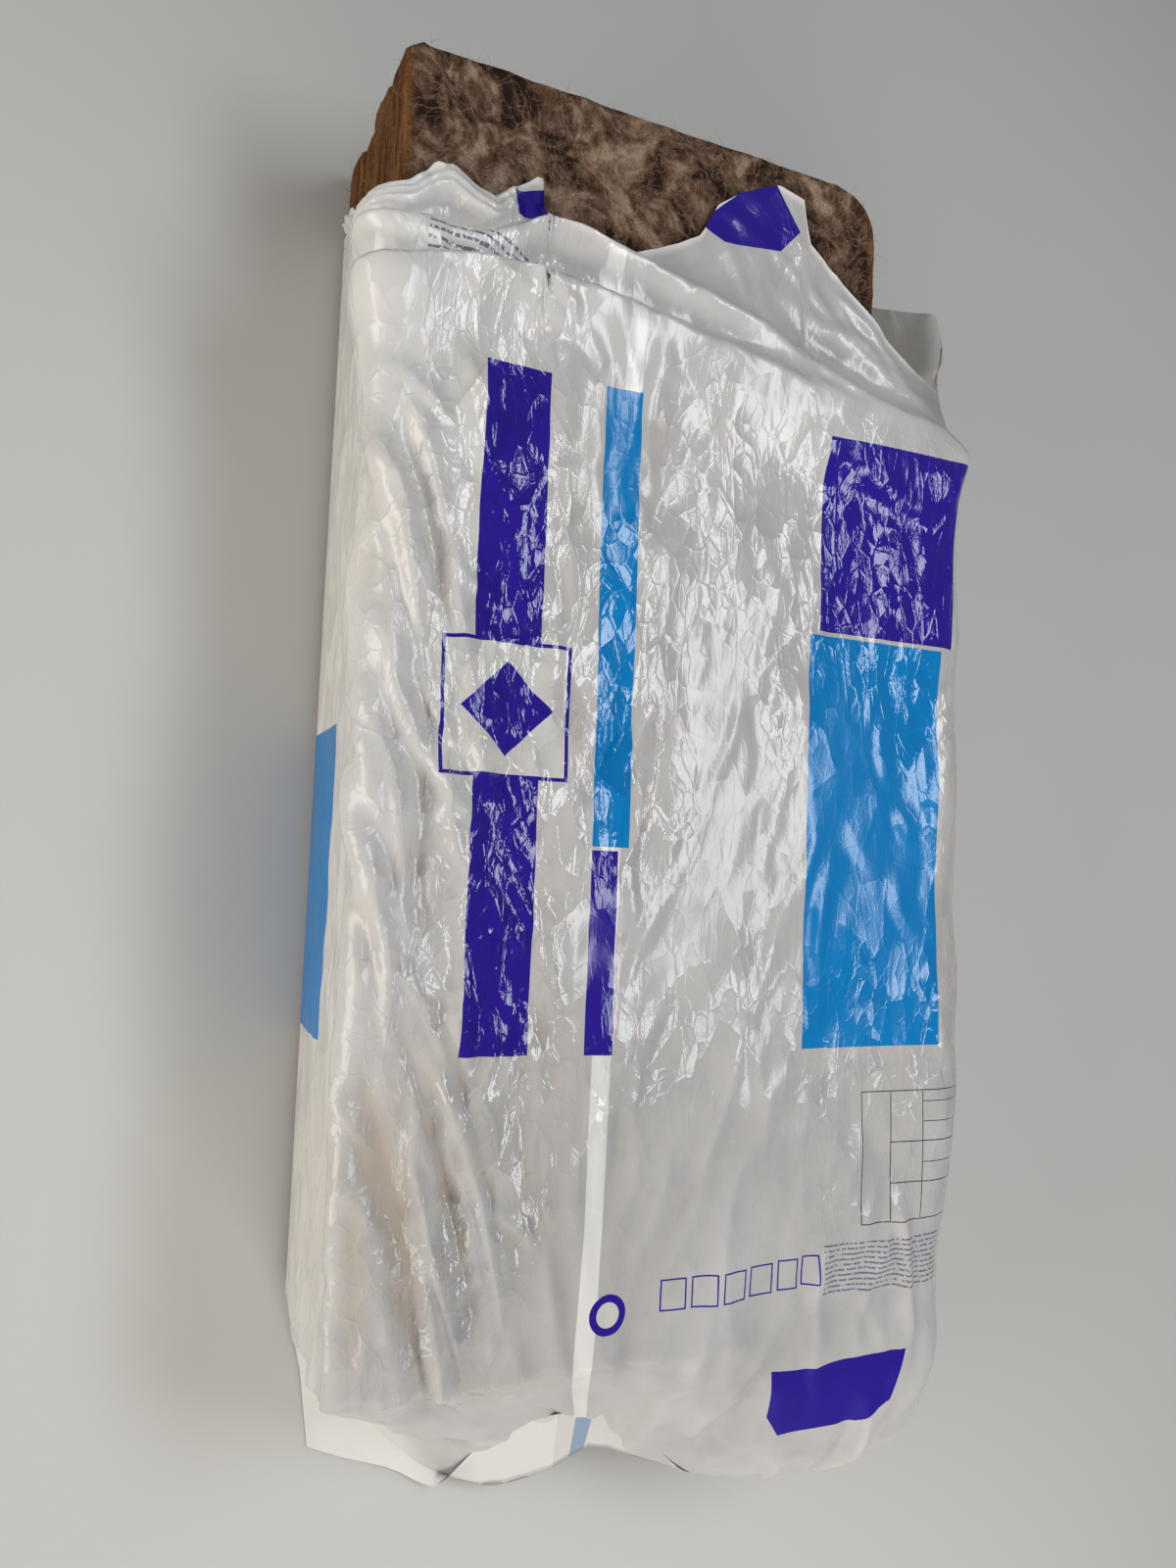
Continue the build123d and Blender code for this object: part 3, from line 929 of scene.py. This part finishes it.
    def tail(self, columns: np.ndarray, start: np.ndarray) -> np.ndarray:
        """The rows of film from the boards' far ends to the weld, and the fin's rows beyond it."""
        share, over = self.weld_shares(columns)
        marks = run_lengths(np.array(self.weld))
        marks /= marks[-1]
        weld = curve_through(self.weld, marks, share)
        edge = curve_through(self.fin_edge, marks, share)
        ahead = self.bulge_ahead.at(share) * over + self.sole_ahead * (1 - over)
        leave = np.stack([ahead, 0 * share, -0.006 * over], axis=-1)
        rise = self.weld_rise.at(share) * over - self.sole_drop * (1 - over)
        arrive = np.stack([-self.weld_back.at(share), 0 * share, rise], axis=-1)
        flank = ((1 - smooth_step(0.27, 0.35, share)) * over)[:, None]
        third = (weld - start) / 3
        inwards = np.array([self.flank_inset, 0.0, 0.0]) * smooth_step(0.0, 0.14, share)[:, None]
        first = (1 - flank) * (start + leave) + flank * (start + third - inwards)
        second = (1 - flank) * (weld + arrive) + flank * (weld - third - inwards)
        second[:, 2] = np.maximum(second[:, 2], self.floor)
        rows = []
        for r in np.linspace(0, 1, self.tail_rows + 1)[1:]:
            row = start * (1 - r) ** 3 + 3 * first * r * (1 - r) ** 2 + 3 * second * r**2 * (1 - r)
            rows.append(row + weld * r**3)
        way = edge - weld
        side = np.cross(way, np.gradient(weld, axis=0)) * np.sign(over - 0.5)[:, None]
        side /= np.linalg.norm(side, axis=1)[:, None] + 1e-9
        wall = (2 * over - 1)[:, None] * self.fin_half_wall * side
        for r in np.linspace(0, 1, self.fin_rows + 1)[1:]:
            rows.append(weld + way * r + wall * (1 - r**8))
        out = np.array(rows)
        out[..., 2] = np.maximum(out[..., 2], self.floor)
        return out

    def crush(self, along: np.ndarray, across: np.ndarray) -> np.ndarray:
        """How crumpled the film is at each of its points, from 0 where it is calm to 1."""
        front = 1 - smooth_step(0.14, 0.24, across)
        middle = window(0.29, 0.36, 0.50, 0.60, across)
        low = smooth_step(1.04, 1.16, along) * smooth_step(0.14, 0.22, across)
        collar = 1 - smooth_step(0.26, 0.34, along)
        tail = smooth_step(1.38, 1.46, along)
        share = 0.62 + 0.38 * front - 0.16 * middle
        share = share - 0.32 * low - 0.14 * collar - 0.50 * tail
        return np.clip(share, 0.0, 1.0)

    def lifts(self, along: np.ndarray, across: np.ndarray, edge_off: np.ndarray) -> np.ndarray:
        """How far the crumples lift each point off the smooth wrapping.

        Args:
            along: How far along the film each point lies.
            across: How far across.
            edge_off: How far it is from the torn edge, along the film.

        Returns:
            The lifts along the outward normals, in metres.
        """
        low = (float(along.min()), float(across.min()))
        high = (float(along.max()), float(across.max()))
        broad, middle, small, patches = (
            CreaseField(low, high, facet, stretch, seed).heights(along, across)
            for facet, stretch, seed in ((0.115, 2.0, 3), (0.052, 2.1, 11), (0.024, 1.7, 29), (0.10, 1.5, 17))
        )
        rough = 0.25 + 0.75 * smooth_step(-0.30, 0.35, patches + 1.5 * (self.crush(along, across) - 0.5))
        side = 1 - smooth_step(-0.03, 0.07, across)
        slack = smooth_step(0.58, 0.68, across)
        tail = smooth_step(1.28, 1.42, along)
        mouth = 1 - smooth_step(0.04, 0.14, edge_off)
        puffed = window(-0.02, 0.03, 0.10, 0.22, across)
        bars = window(0.06, 0.10, 0.28, 0.34, across) * smooth_step(0.26, 0.32, along)
        bars = bars * (1 - smooth_step(1.02, 1.12, along))
        # Heights in metres: what the film stands off everywhere, and what each size of facet adds.
        lift = 0.0025 + 0.003 * mouth + 0.007 * puffed
        lift += broad * (0.0045 + 0.0045 * side + 0.0035 * slack + 0.004 * tail)
        lift += middle * (0.0028 * rough + 0.0026 * side + 0.0010 * slack + 0.0012 * tail + 0.002 * mouth)
        lift += small * (0.0011 * rough + 0.0014 * side + 0.0010 * mouth + 0.0012 * bars)
        for crease in [*self.folds, *(crease for band in self.creases for crease in band.creases())]:
            crease.add_to(lift, along, across)
        outward = 1.0 - 0.76 * (1 - smooth_step(-0.10, -0.01, across))
        lift = np.where(lift > 0, lift * outward, lift)
        collar = window(-0.24, -0.10, 0.09, 0.14, across)
        roll = np.where(edge_off < 0.024, hump(0.024, 0.032, edge_off), hump(0.024, 0.010, edge_off))
        lift += collar * 0.024 * roll
        waves = np.sin(2 * math.pi * (edge_off / 0.0105 + 0.55 * middle))
        lift += collar * 0.0028 * waves * (1 - smooth_step(0.02, 0.06, edge_off))
        return lift

    def build(self) -> bpy.types.Object:
        """The film bag as one mesh, with its film coordinates as a UV map."""
        columns = self.columns()
        along = self.rows(columns)
        flat = self.wrapped(along + self.open_end, columns)
        tail = self.tail(columns, flat[-1])
        runs = np.linalg.norm(np.diff(np.concatenate([flat[-1:], tail]), axis=0), axis=-1).cumsum(axis=0)
        film_along = np.concatenate([along, along[-1] + runs])
        film_across = np.broadcast_to(columns, film_along.shape)

        shifted, lift = along.copy(), np.zeros(film_along.shape)
        for pleat in self.pleats:
            bump = pleat.bump(along, film_across[: len(along)])
            shifted -= pleat.lean * bump * (1 - pleat.upright * pleat.softness(columns))
            lift[: len(along)] += pleat.height * bump
        flat = np.concatenate([flat, tail])
        smooth = np.concatenate([self.wrapped(shifted + self.open_end, columns), tail])
        normal = np.cross(np.gradient(flat, axis=0), np.gradient(flat, axis=1))
        normal /= np.linalg.norm(normal, axis=2)[..., None] + 1e-12
        lift += self.lifts(film_along, film_across, film_along - film_along[0])
        front, back = self.front_foot, self.back_foot
        shown = window(front + 0.005, front + 0.05, back - 0.05, back - 0.005, film_across)
        to_weld = len(flat) - self.fin_rows - 1 - np.arange(len(flat))
        shown = shown * np.clip(to_weld / self.calm_rows, 0.0, 1.0)[:, None]
        points = self.cleared(smooth + normal * (lift * shown)[..., None])
        LOG.info("film: %d rows of %d points", *film_along.shape)
        film = np.stack([film_along, film_across], axis=-1)
        layers = np.zeros(film_along.shape)
        layers[-self.fin_rows :] = self.fin_layers
        layers[: len(along)] = 1 - smooth_step(0.0, 0.012, along - along[0])
        loose = smooth_step(0.62, 0.70, film_across) * (1 - smooth_step(0.24, 0.38, film_along))
        # The loose back flap counts as doubled film: partly it is folded double, partly this is painted light
        # standing in for the light that comes through it
        layers = np.maximum(layers, loose * smooth_step(0.68, 0.74, film_across))
        marks = {
            "layers": layers,
            "loose": loose,
            "crush": self.crush(film_along, film_across),
            "stand": smooth_step(-0.004, 0.012, lift),
        }
        bag = shaped_grid("film_bag_skin", points, film, marks)
        bag.data.materials.append(FilmFinish().material())
        return bag

    def covered(self, points: np.ndarray, normals: np.ndarray) -> np.ndarray:
        """How far inside the torn edge each point of the top board's surface lies."""
        x, y, z = points[:, 0], points[:, 1], points[:, 2]
        down = np.clip(self.top - z, 0, None)
        across = y + self.half_width + 0.01
        across = np.where(normals[:, 1] < -0.7, -down, across)
        across = np.where(normals[:, 1] > 0.7, 2 * self.half_width + 0.01 + down, across)
        return x - self.open_end - np.interp(across, *np.array(self.mouth).T)

    def cleared(self, points: np.ndarray) -> np.ndarray:
        """The points, moved out where they would be inside the boards or the floor."""
        x, y, z = points[..., 0], points[..., 1], points[..., 2]
        on_boards = np.abs(x) < self.boards_reach[0]
        over = on_boards & (np.abs(y) < self.boards_reach[1]) & (z > self.above)
        points[..., 2] = np.where(over, np.maximum(z, self.least_top), z)
        beside = on_boards & (y < -0.2) & (z > self.beside[0]) & (z < self.beside[1])
        points[..., 1] = np.where(beside, np.minimum(y, self.least_front), y)
        room = self.most_top - self.give
        high = z > room
        points[..., 2] = np.where(high, room + self.give * np.tanh((z - room) / self.give), points[..., 2])
        room = self.most_front + self.give
        out = points[..., 1]
        held = room + self.give * np.tanh((out - room) / self.give)
        points[..., 1] = np.where(out < room, held, out)
        points[..., 2] = np.maximum(points[..., 2], self.floor)
        return points


@dataclass(frozen=True)
class WoolFinish:
    """Brown glass wool: swirled tufts on the faces, and fine layers along the sawn edges."""

    # The dark and the tan are partly the wool's own mottle, partly painted shade in the gaps between its
    # tufts and painted highlights on them
    dark: Colour = (0.032, 0.017, 0.011, 1.0)
    brown: Colour = (0.152, 0.085, 0.052, 1.0)
    tan: Colour = (0.46, 0.315, 0.225, 1.0)
    sawn_dark: Colour = (0.075, 0.026, 0.009, 1.0)
    sawn: Colour = (0.280, 0.125, 0.040, 1.0)

    def material(self) -> bpy.types.Material:
        """The wool's material."""
        material, build, shader = new_material("glass_wool")
        place = build.add("TexCoord").outputs["Object"]
        swirl = build.noise(place, 14.0, 5.0, 0.52, 2.2)
        tuft = build.noise(place, 30.0, 6.0, 0.58, 1.4)
        fibre = build.noise(place, 190.0, 4.0, 0.7, 2.2)
        both = build.weighted(swirl, 0.66, tuft, 0.34)
        # The dark to tan mottle is partly the wool's own tone, partly painted shade between tufts and painted
        # highlights on them; the pale lines along the curls are partly painted highlights too
        colour = build.mix(build.ramp(both, 0.42, 0.50), self.dark, self.brown)
        colour = build.mix(build.ramp(both, 0.52, 0.62), colour, self.tan)
        curl = build.gap(build.noise(place, 20.0, 4.0, 0.55, 2.6), 0.5)
        colour = build.mix(build.ramp(curl, 0.0, 0.035, 0.36, 0.0), colour, self.tan)

        layer = build.noise(build.scaled(place, (0.05, 0.05, 1.0)), 150.0, 4.0, 0.65, 0.3)
        layered = build.ramp(build.weighted(layer, 0.75, tuft, 0.25), 0.40, 0.62)
        sawn = build.mark("sawn")
        colour = build.mix(sawn, colour, build.mix(layered, self.sawn_dark, self.sawn))
        grain = build.vector("SCALE", (1.0, 1.0, 1.0), scale=build.ramp(fibre, 0.30, 0.70, 0.62, 1.42))
        height = build.plus(build.weighted(fibre, 0.4, tuft, 0.6), build.times(layer, sawn, 0.8))
        bump = build.add("Bump", {"Distance": 0.012, "Strength": 0.9, "Height": height})
        surface = {
            "Base Color": build.mix(1.0, colour, grain, "MULTIPLY"),
            "Normal": bump.outputs["Normal"],
            "Roughness": 0.95,
            "Specular IOR Level": 0.15,
        }
        build.fill(shader, surface)
        return material


@dataclass(frozen=True)
class FibreFinish:
    """Loose strands of wool, each a little lighter or darker than the next."""

    low: Colour = (0.11, 0.056, 0.032, 1.0)
    high: Colour = (0.44, 0.28, 0.19, 1.0)

    def material(self) -> bpy.types.Material:
        """The strands' material."""
        material, build, shader = new_material("loose_wool")
        tone = build.noise(build.add("TexCoord").outputs["Object"], 60.0, 3.0, 0.7)
        colour = build.mix(build.ramp(tone, 0.35, 0.65), self.low, self.high)
        build.fill(shader, {"Base Color": colour, "Roughness": 0.8, "Specular IOR Level": 0.3})
        return material


@dataclass
class WoolBoard:
    """One board of the stack: a soft slab with swollen sawn edges and a tufted skin."""

    level: int
    slide_x: float
    slide_y: float
    length: float = 1.35
    width: float = 0.60
    thickness: float = 0.07
    base: float = 0.0015
    edge_radius: float = 0.007
    edge_bulge: float = 0.003
    corner_radius: float = 0.012
    worn_radius: float = 0.055
    top_level: int = 3
    shown_length: float = 0.30
    shown_pitch: float = 0.006
    hidden_pitch: float = 0.045
    ring_pitch: float = 0.0085
    cap_rings: int = 8
    cap_slope: float = 0.6  # how much an end's rings draw in sideways, against in height
    least_strand: float = 0.001  # the lowest and the highest place of a loose strand
    most_strand: float = 0.3195
    strand_zone: float = 0.20  # how far from the open end they grow
    strand_steps: int = 5

    def ring(self) -> tuple[np.ndarray, np.ndarray]:
        """The section's outline: places across the board from -1 to 1, and heights over the middle."""
        half_w, half_t, r = self.width / 2, self.thickness / 2, self.edge_radius
        flat_w, flat_t = half_w - r, half_t - r
        points = []
        wide, tall = round(2 * flat_w / self.ring_pitch), round(2 * flat_t / self.ring_pitch)
        turn = np.linspace(0, math.pi / 2, 4)[1:-1]
        sides = (
            (np.linspace(-flat_w, flat_w, wide), np.full(wide, -half_t), 0.0),
            (np.full(tall, half_w), np.linspace(-flat_t, flat_t, tall), math.pi / 2),
            (np.linspace(flat_w, -flat_w, wide), np.full(wide, half_t), math.pi),
            (np.full(tall, -half_w), np.linspace(flat_t, -flat_t, tall), 1.5 * math.pi),
        )
        corners = ((flat_w, -flat_t), (flat_w, flat_t), (-flat_w, flat_t), (-flat_w, -flat_t))
        for (ys, zs, start), (cy, cz) in zip(sides, corners):
            points += list(zip(ys, zs))
            points += [(cy + r * math.sin(start + a), cz - r * math.cos(start + a)) for a in turn]
        points.append(points[0])
        outline = np.array(points)
        return outline[:, 0] / half_w, outline[:, 1]

    def plan_edge(self, from_end: np.ndarray, radius: float) -> np.ndarray:
        """How far a corner of the given radius draws the edge in, at each place from the board's end."""
        off = np.clip(radius - from_end, 0, radius)
        return radius - np.sqrt(np.maximum(radius**2 - off**2, 0))

    def surface(self) -> tuple[np.ndarray, np.ndarray]:
        """The board's points by row and column, and how much each lies on a sawn edge, from 0 to 1."""
        share, height = self.ring()
        half = self.length / 2
        shown = np.arange(-half, -half + self.shown_length, self.shown_pitch)
        hidden = np.linspace(shown[-1], half, round((half - shown[-1]) / self.hidden_pitch) + 1)[1:]
        near_end = half - np.array([2, 1]) * self.shown_pitch
        xs = np.sort(np.concatenate([shown, hidden, near_end]))
        cap = (np.linspace(1, 0, self.cap_rings + 1) ** 1.3 * self.thickness / 2)[:-1]
        places = np.pad(xs, self.cap_rings, mode="edge")
        inset = np.concatenate([cap, np.zeros(len(xs)), cap[::-1]])
        x = places[:, None] + 0 * share
        z = np.sign(height) * np.maximum(np.abs(height) - inset[:, None], 0)
        from_open, from_far = places + half, half - places
        worn = self.worn_radius if self.level == self.top_level else self.corner_radius
        far_corner = self.plan_edge(from_far, self.corner_radius)
        front = np.maximum(self.plan_edge(from_open, self.corner_radius), far_corner)
        back = np.maximum(self.plan_edge(from_open, worn), far_corner)
        low = -self.width / 2 + front + inset * self.cap_slope
        high = self.width / 2 - back - inset * self.cap_slope
        y = low[:, None] + (share + 1) / 2 * (high - low)[:, None]
        edge_share = 0.03  # of the half width, where the sawn edge swells
        on_edge = np.clip((np.abs(share) - (1 - edge_share)) / edge_share, 0, 1)
        swell = self.edge_bulge * (1 - (z / (self.thickness / 2)) ** 2) * on_edge
        y = y + np.sign(share) * (swell - self.edge_bulge * on_edge)
        on_side = smooth_step(0.955, 0.985, np.abs(share))
        return np.stack([x, y, z], axis=-1), np.clip((inset > 0)[:, None] + on_side, 0, 1)

    def roughened(self, points: np.ndarray, sawn: np.ndarray, film: FilmBag) -> np.ndarray:
        """The points with tufts and torn layers, kept low where the wool lies against its neighbours."""
        half = self.length / 2
        offset = Vector((7.3 * self.level, 3.1 * self.level, 0.0))
        out = points.copy()
        top_open = self.level == self.top_level
        rows, count = sawn.shape
        flat = points.reshape(-1, 3)
        inside = film.covered(flat, np.zeros_like(flat)).reshape(rows, count)
        for i in range(rows):
            for j in range(count):
                x, y, z = points[i, j]
                if sawn[i, j] < 0.02 and x > -half + self.shown_length + 0.05:
                    continue
                place = Vector((x, y, z)) + offset
                swell = noise.noise(place * 21) * 0.5 + noise.noise(place * 52) * 0.3
                fuzz = noise.noise(place * 120) * 0.2
                layer = noise.noise(Vector((place.x * 6, place.y * 6, place.z * 210)))
                if sawn[i, j] > 0.5:
                    depth = 0.0035 * swell + 0.0016 * layer + 0.0035 * fuzz - 0.0010
                    if x > -half + 0.03:
                        depth = min(depth, 0.0)
                    if abs(x) > half - 1e-6:
                        out[i, j, 0] += math.copysign(depth, x)
                    else:
                        out[i, j, 1] += math.copysign(depth, y)
                elif z > 0 and top_open:
                    open_share = 1 - min(max((inside[i, j] + 0.010) / 0.016, 0), 1)
                    lift = 0.0055 * swell + 0.0050 * fuzz
                    out[i, j, 2] += lift * open_share + min(lift, 0) * (1 - open_share)
                else:
                    out[i, j, 2] -= math.copysign(abs(0.002 * swell), z)
        return out

    def build(self, film: FilmBag) -> bpy.types.Object:
        """The board as one closed mesh."""
        points, sawn = self.surface()
        points = self.roughened(points, sawn, film)
        centre_z = self.base + (self.level + 0.5) * self.thickness
        points += np.array([self.slide_x, self.slide_y, centre_z])
        # The first and last columns are the same line, so they are made equal before they join.
        points[:, -1] = points[:, 0]
        name = f"wool_board_{self.level + 1}"
        return shaped_grid(name, points[:, ::-1], marks={"sawn": sawn[:, ::-1]}, join=2e-5)

    def strands(self, count: int, board: bpy.types.Object, film: FilmBag, seed: int) -> bpy.types.Object:
        """Loose strands that curl out of the board's open end, its edges and its uncovered top.

        Args:
            count: How many strands there are.
            board: The board's own mesh, which they grow from.
            film: The bag, which keeps the strands down where it covers the board.
            seed: The seed of their places and curls.

        Returns:
            One mesh object of thin strips.
        """
        draws = np.random.default_rng(seed)
        faces = board.data.polygons
        areas = np.array([face.area for face in faces])
        centres = np.array([face.center[:] for face in faces])
        normals = np.array([face.normal[:] for face in faces])
        open_end = centres[:, 0].min()
        weight = areas * (centres[:, 0] < open_end + self.strand_zone)
        if self.level < self.top_level:
            weight = weight * (np.abs(normals[:, 2]) < 0.7)
        else:
            weight = weight * (normals[:, 2] > -0.4) * (film.covered(centres, normals) < -0.010)
        pick = draws.choice(len(areas), count, p=weight / weight.sum())
        facing = normals[pick]
        root = centres[pick] + draws.uniform(-0.004, 0.004, (count, 3)) - facing * 0.0006
        length = draws.gamma(3.0, 0.0042, count)[:, None]
        loose = draws.normal(size=(count, 3))
        lie = loose - facing * np.sum(loose * facing, axis=1)[:, None]
        lie /= np.linalg.norm(lie, axis=1)[:, None] + 1e-9
        rise = draws.uniform(0.02, 0.33, (count, 1)) ** 1.5
        across = np.cross(lie, facing)
        curl = across * draws.normal(0, 0.6, (count, 1))
        width = draws.uniform(0.00012, 0.00032, (count, 1))
        places = np.zeros((self.strand_steps, 2 * count, 3))
        for k, t in enumerate(np.linspace(0, 1, self.strand_steps)):
            arch = facing * rise * 4 * t * (1 - 0.55 * t) * 0.35
            centre = root + length * (lie * t + arch + curl * t * t * 0.5)
            half = width * (1 - 0.75 * t)
            places[k, 0::2] = centre - across * half
            places[k, 1::2] = centre + across * half
        places[..., 2] = np.clip(places[..., 2], self.least_strand, self.most_strand)
        return shaped_grid(f"loose_wool_{self.level + 1}", places, strips=True, join=0)


@dataclass(frozen=True)
class WoolStack:
    """The four boards, with the strands that stand out of them."""

    slides_x: tuple[float, ...] = (-0.014, -0.009, -0.003, 0.0)
    slides_y: tuple[float, ...] = (-0.004, 0.002, -0.003, 0.0)
    strand_counts: tuple[int, ...] = (1200, 1200, 1200, 3000)

    def build(self, film: FilmBag) -> None:
        """Builds each board and its strands, and says which node each stands for."""
        wool, loose = WoolFinish().material(), FibreFinish().material()
        for level, (slide_x, slide_y) in enumerate(zip(self.slides_x, self.slides_y)):
            maker = WoolBoard(level, slide_x, slide_y)
            board = maker.build(film)
            board.data.materials.append(wool)
            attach(board, "root")
            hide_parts(f"board_{level + 1}")
            strands = maker.strands(self.strand_counts[level], board, film, seed=40 + level)
            strands.data.materials.append(loose)
            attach(strands, "root")
            LOG.info("%s and its strands", board.name)


@dataclass(frozen=True)
class Studio:
    """A pale floor, soft light and the camera at the photograph's viewing angle."""

    eye: Point3 = (0.179, -0.5245, 1.336)
    look: Point3 = (-0.0826, 0.3974, -0.9146)
    heading: float = 2.19  # degrees between the picture's up and the pack's open end
    lens: float = 24.975
    sensor: float = 36.0
    floor_colour: Colour = (0.55, 0.55, 0.54, 1.0)
    world_strength: float = 0.13
    world_colour: Colour = (1.0, 0.97, 0.93, 1.0)

    def place_camera(self) -> None:
        """Puts the camera where the photograph was taken."""
        camera = bpy.data.objects.new("camera", bpy.data.cameras.new("camera"))
        bpy.context.collection.objects.link(camera)
        camera.data.lens = self.lens
        camera.data.sensor_width = self.sensor
        turn = math.radians(self.heading)
        forward = Vector(self.look).normalized()
        right = forward.cross(Vector((-math.cos(turn), -math.sin(turn), 0.0))).normalized()
        up = right.cross(forward)
        facing = Matrix((right, up, -forward)).transposed().to_4x4()
        camera.matrix_world = Matrix.Translation(self.eye) @ facing
        bpy.context.scene.camera = camera

    def add_area(
        self, name: str, place: Point3, size: Point2, power: float, colour: Point3, glossy: bool = True
    ) -> None:
        """Adds a soft light that points at the pack.

        Args:
            name: The light's name.
            place: Where it stands.
            size: How large it is: its width along the pack, and its height.
            power: Its power in watts.
            colour: The colour of its light.
            glossy: Whether glossy surfaces reflect it.
        """
        lamp = bpy.data.lights.new(name, "AREA")
        lamp.shape = "RECTANGLE"
        lamp.size, lamp.size_y = size
        lamp.energy = power
        lamp.color = colour
        light = bpy.data.objects.new(name, lamp)
        light.location = place
        aim = Vector((0.1, 0.05, 0.15)) - Vector(place)
        light.rotation_euler = aim.to_track_quat("-Z", "Y").to_euler()
        light.visible_glossy = glossy
        bpy.context.collection.objects.link(light)

    def build(self) -> None:
        """Builds the floor, the lights and the camera."""
        slab = bmesh.new()
        bmesh.ops.create_grid(slab, x_segments=1, y_segments=1, size=12.0)
        mesh = bpy.data.meshes.new("floor")
        slab.to_mesh(mesh)
        slab.free()
        floor = bpy.data.objects.new("floor", mesh)
        bpy.context.collection.objects.link(floor)
        material, build, shader = new_material("floor")
        build.fill(shader, {"Base Color": self.floor_colour, "Roughness": 0.9})
        mesh.materials.append(material)

        world = bpy.data.worlds.new("studio")
        world.use_nodes = True
        background = world.node_tree.nodes["Background"]
        light = {"Color": self.world_colour, "Strength": self.world_strength}
        NodeBuilder(world.node_tree).fill(background, light)
        bpy.context.scene.world = world
        self.add_area("back_window", (-0.35, 1.05, 2.6), (1.7, 0.75), 36.0, (0.93, 0.97, 1.0))
        self.add_area("soft_fill", (0.4, -2.6, 1.1), (2.4, 1.3), 50.0, (1.0, 0.95, 0.88))
        self.add_area("far_fill", (2.6, 0.2, 1.3), (1.6, 1.4), 34.0, (1.0, 0.95, 0.88), glossy=False)
        bpy.context.scene.view_settings.view_transform = "Standard"
        self.place_camera()


def main() -> None:
    """Builds the scene."""
    logging.basicConfig(level=logging.INFO, format="%(name)s: %(message)s")
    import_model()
    Studio().build()
    film = FilmBag()
    WoolStack().build(film)

    bag = film.build()
    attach(bag, "root")
    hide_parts("film_bag")


if __name__ == "__main__":
    main()
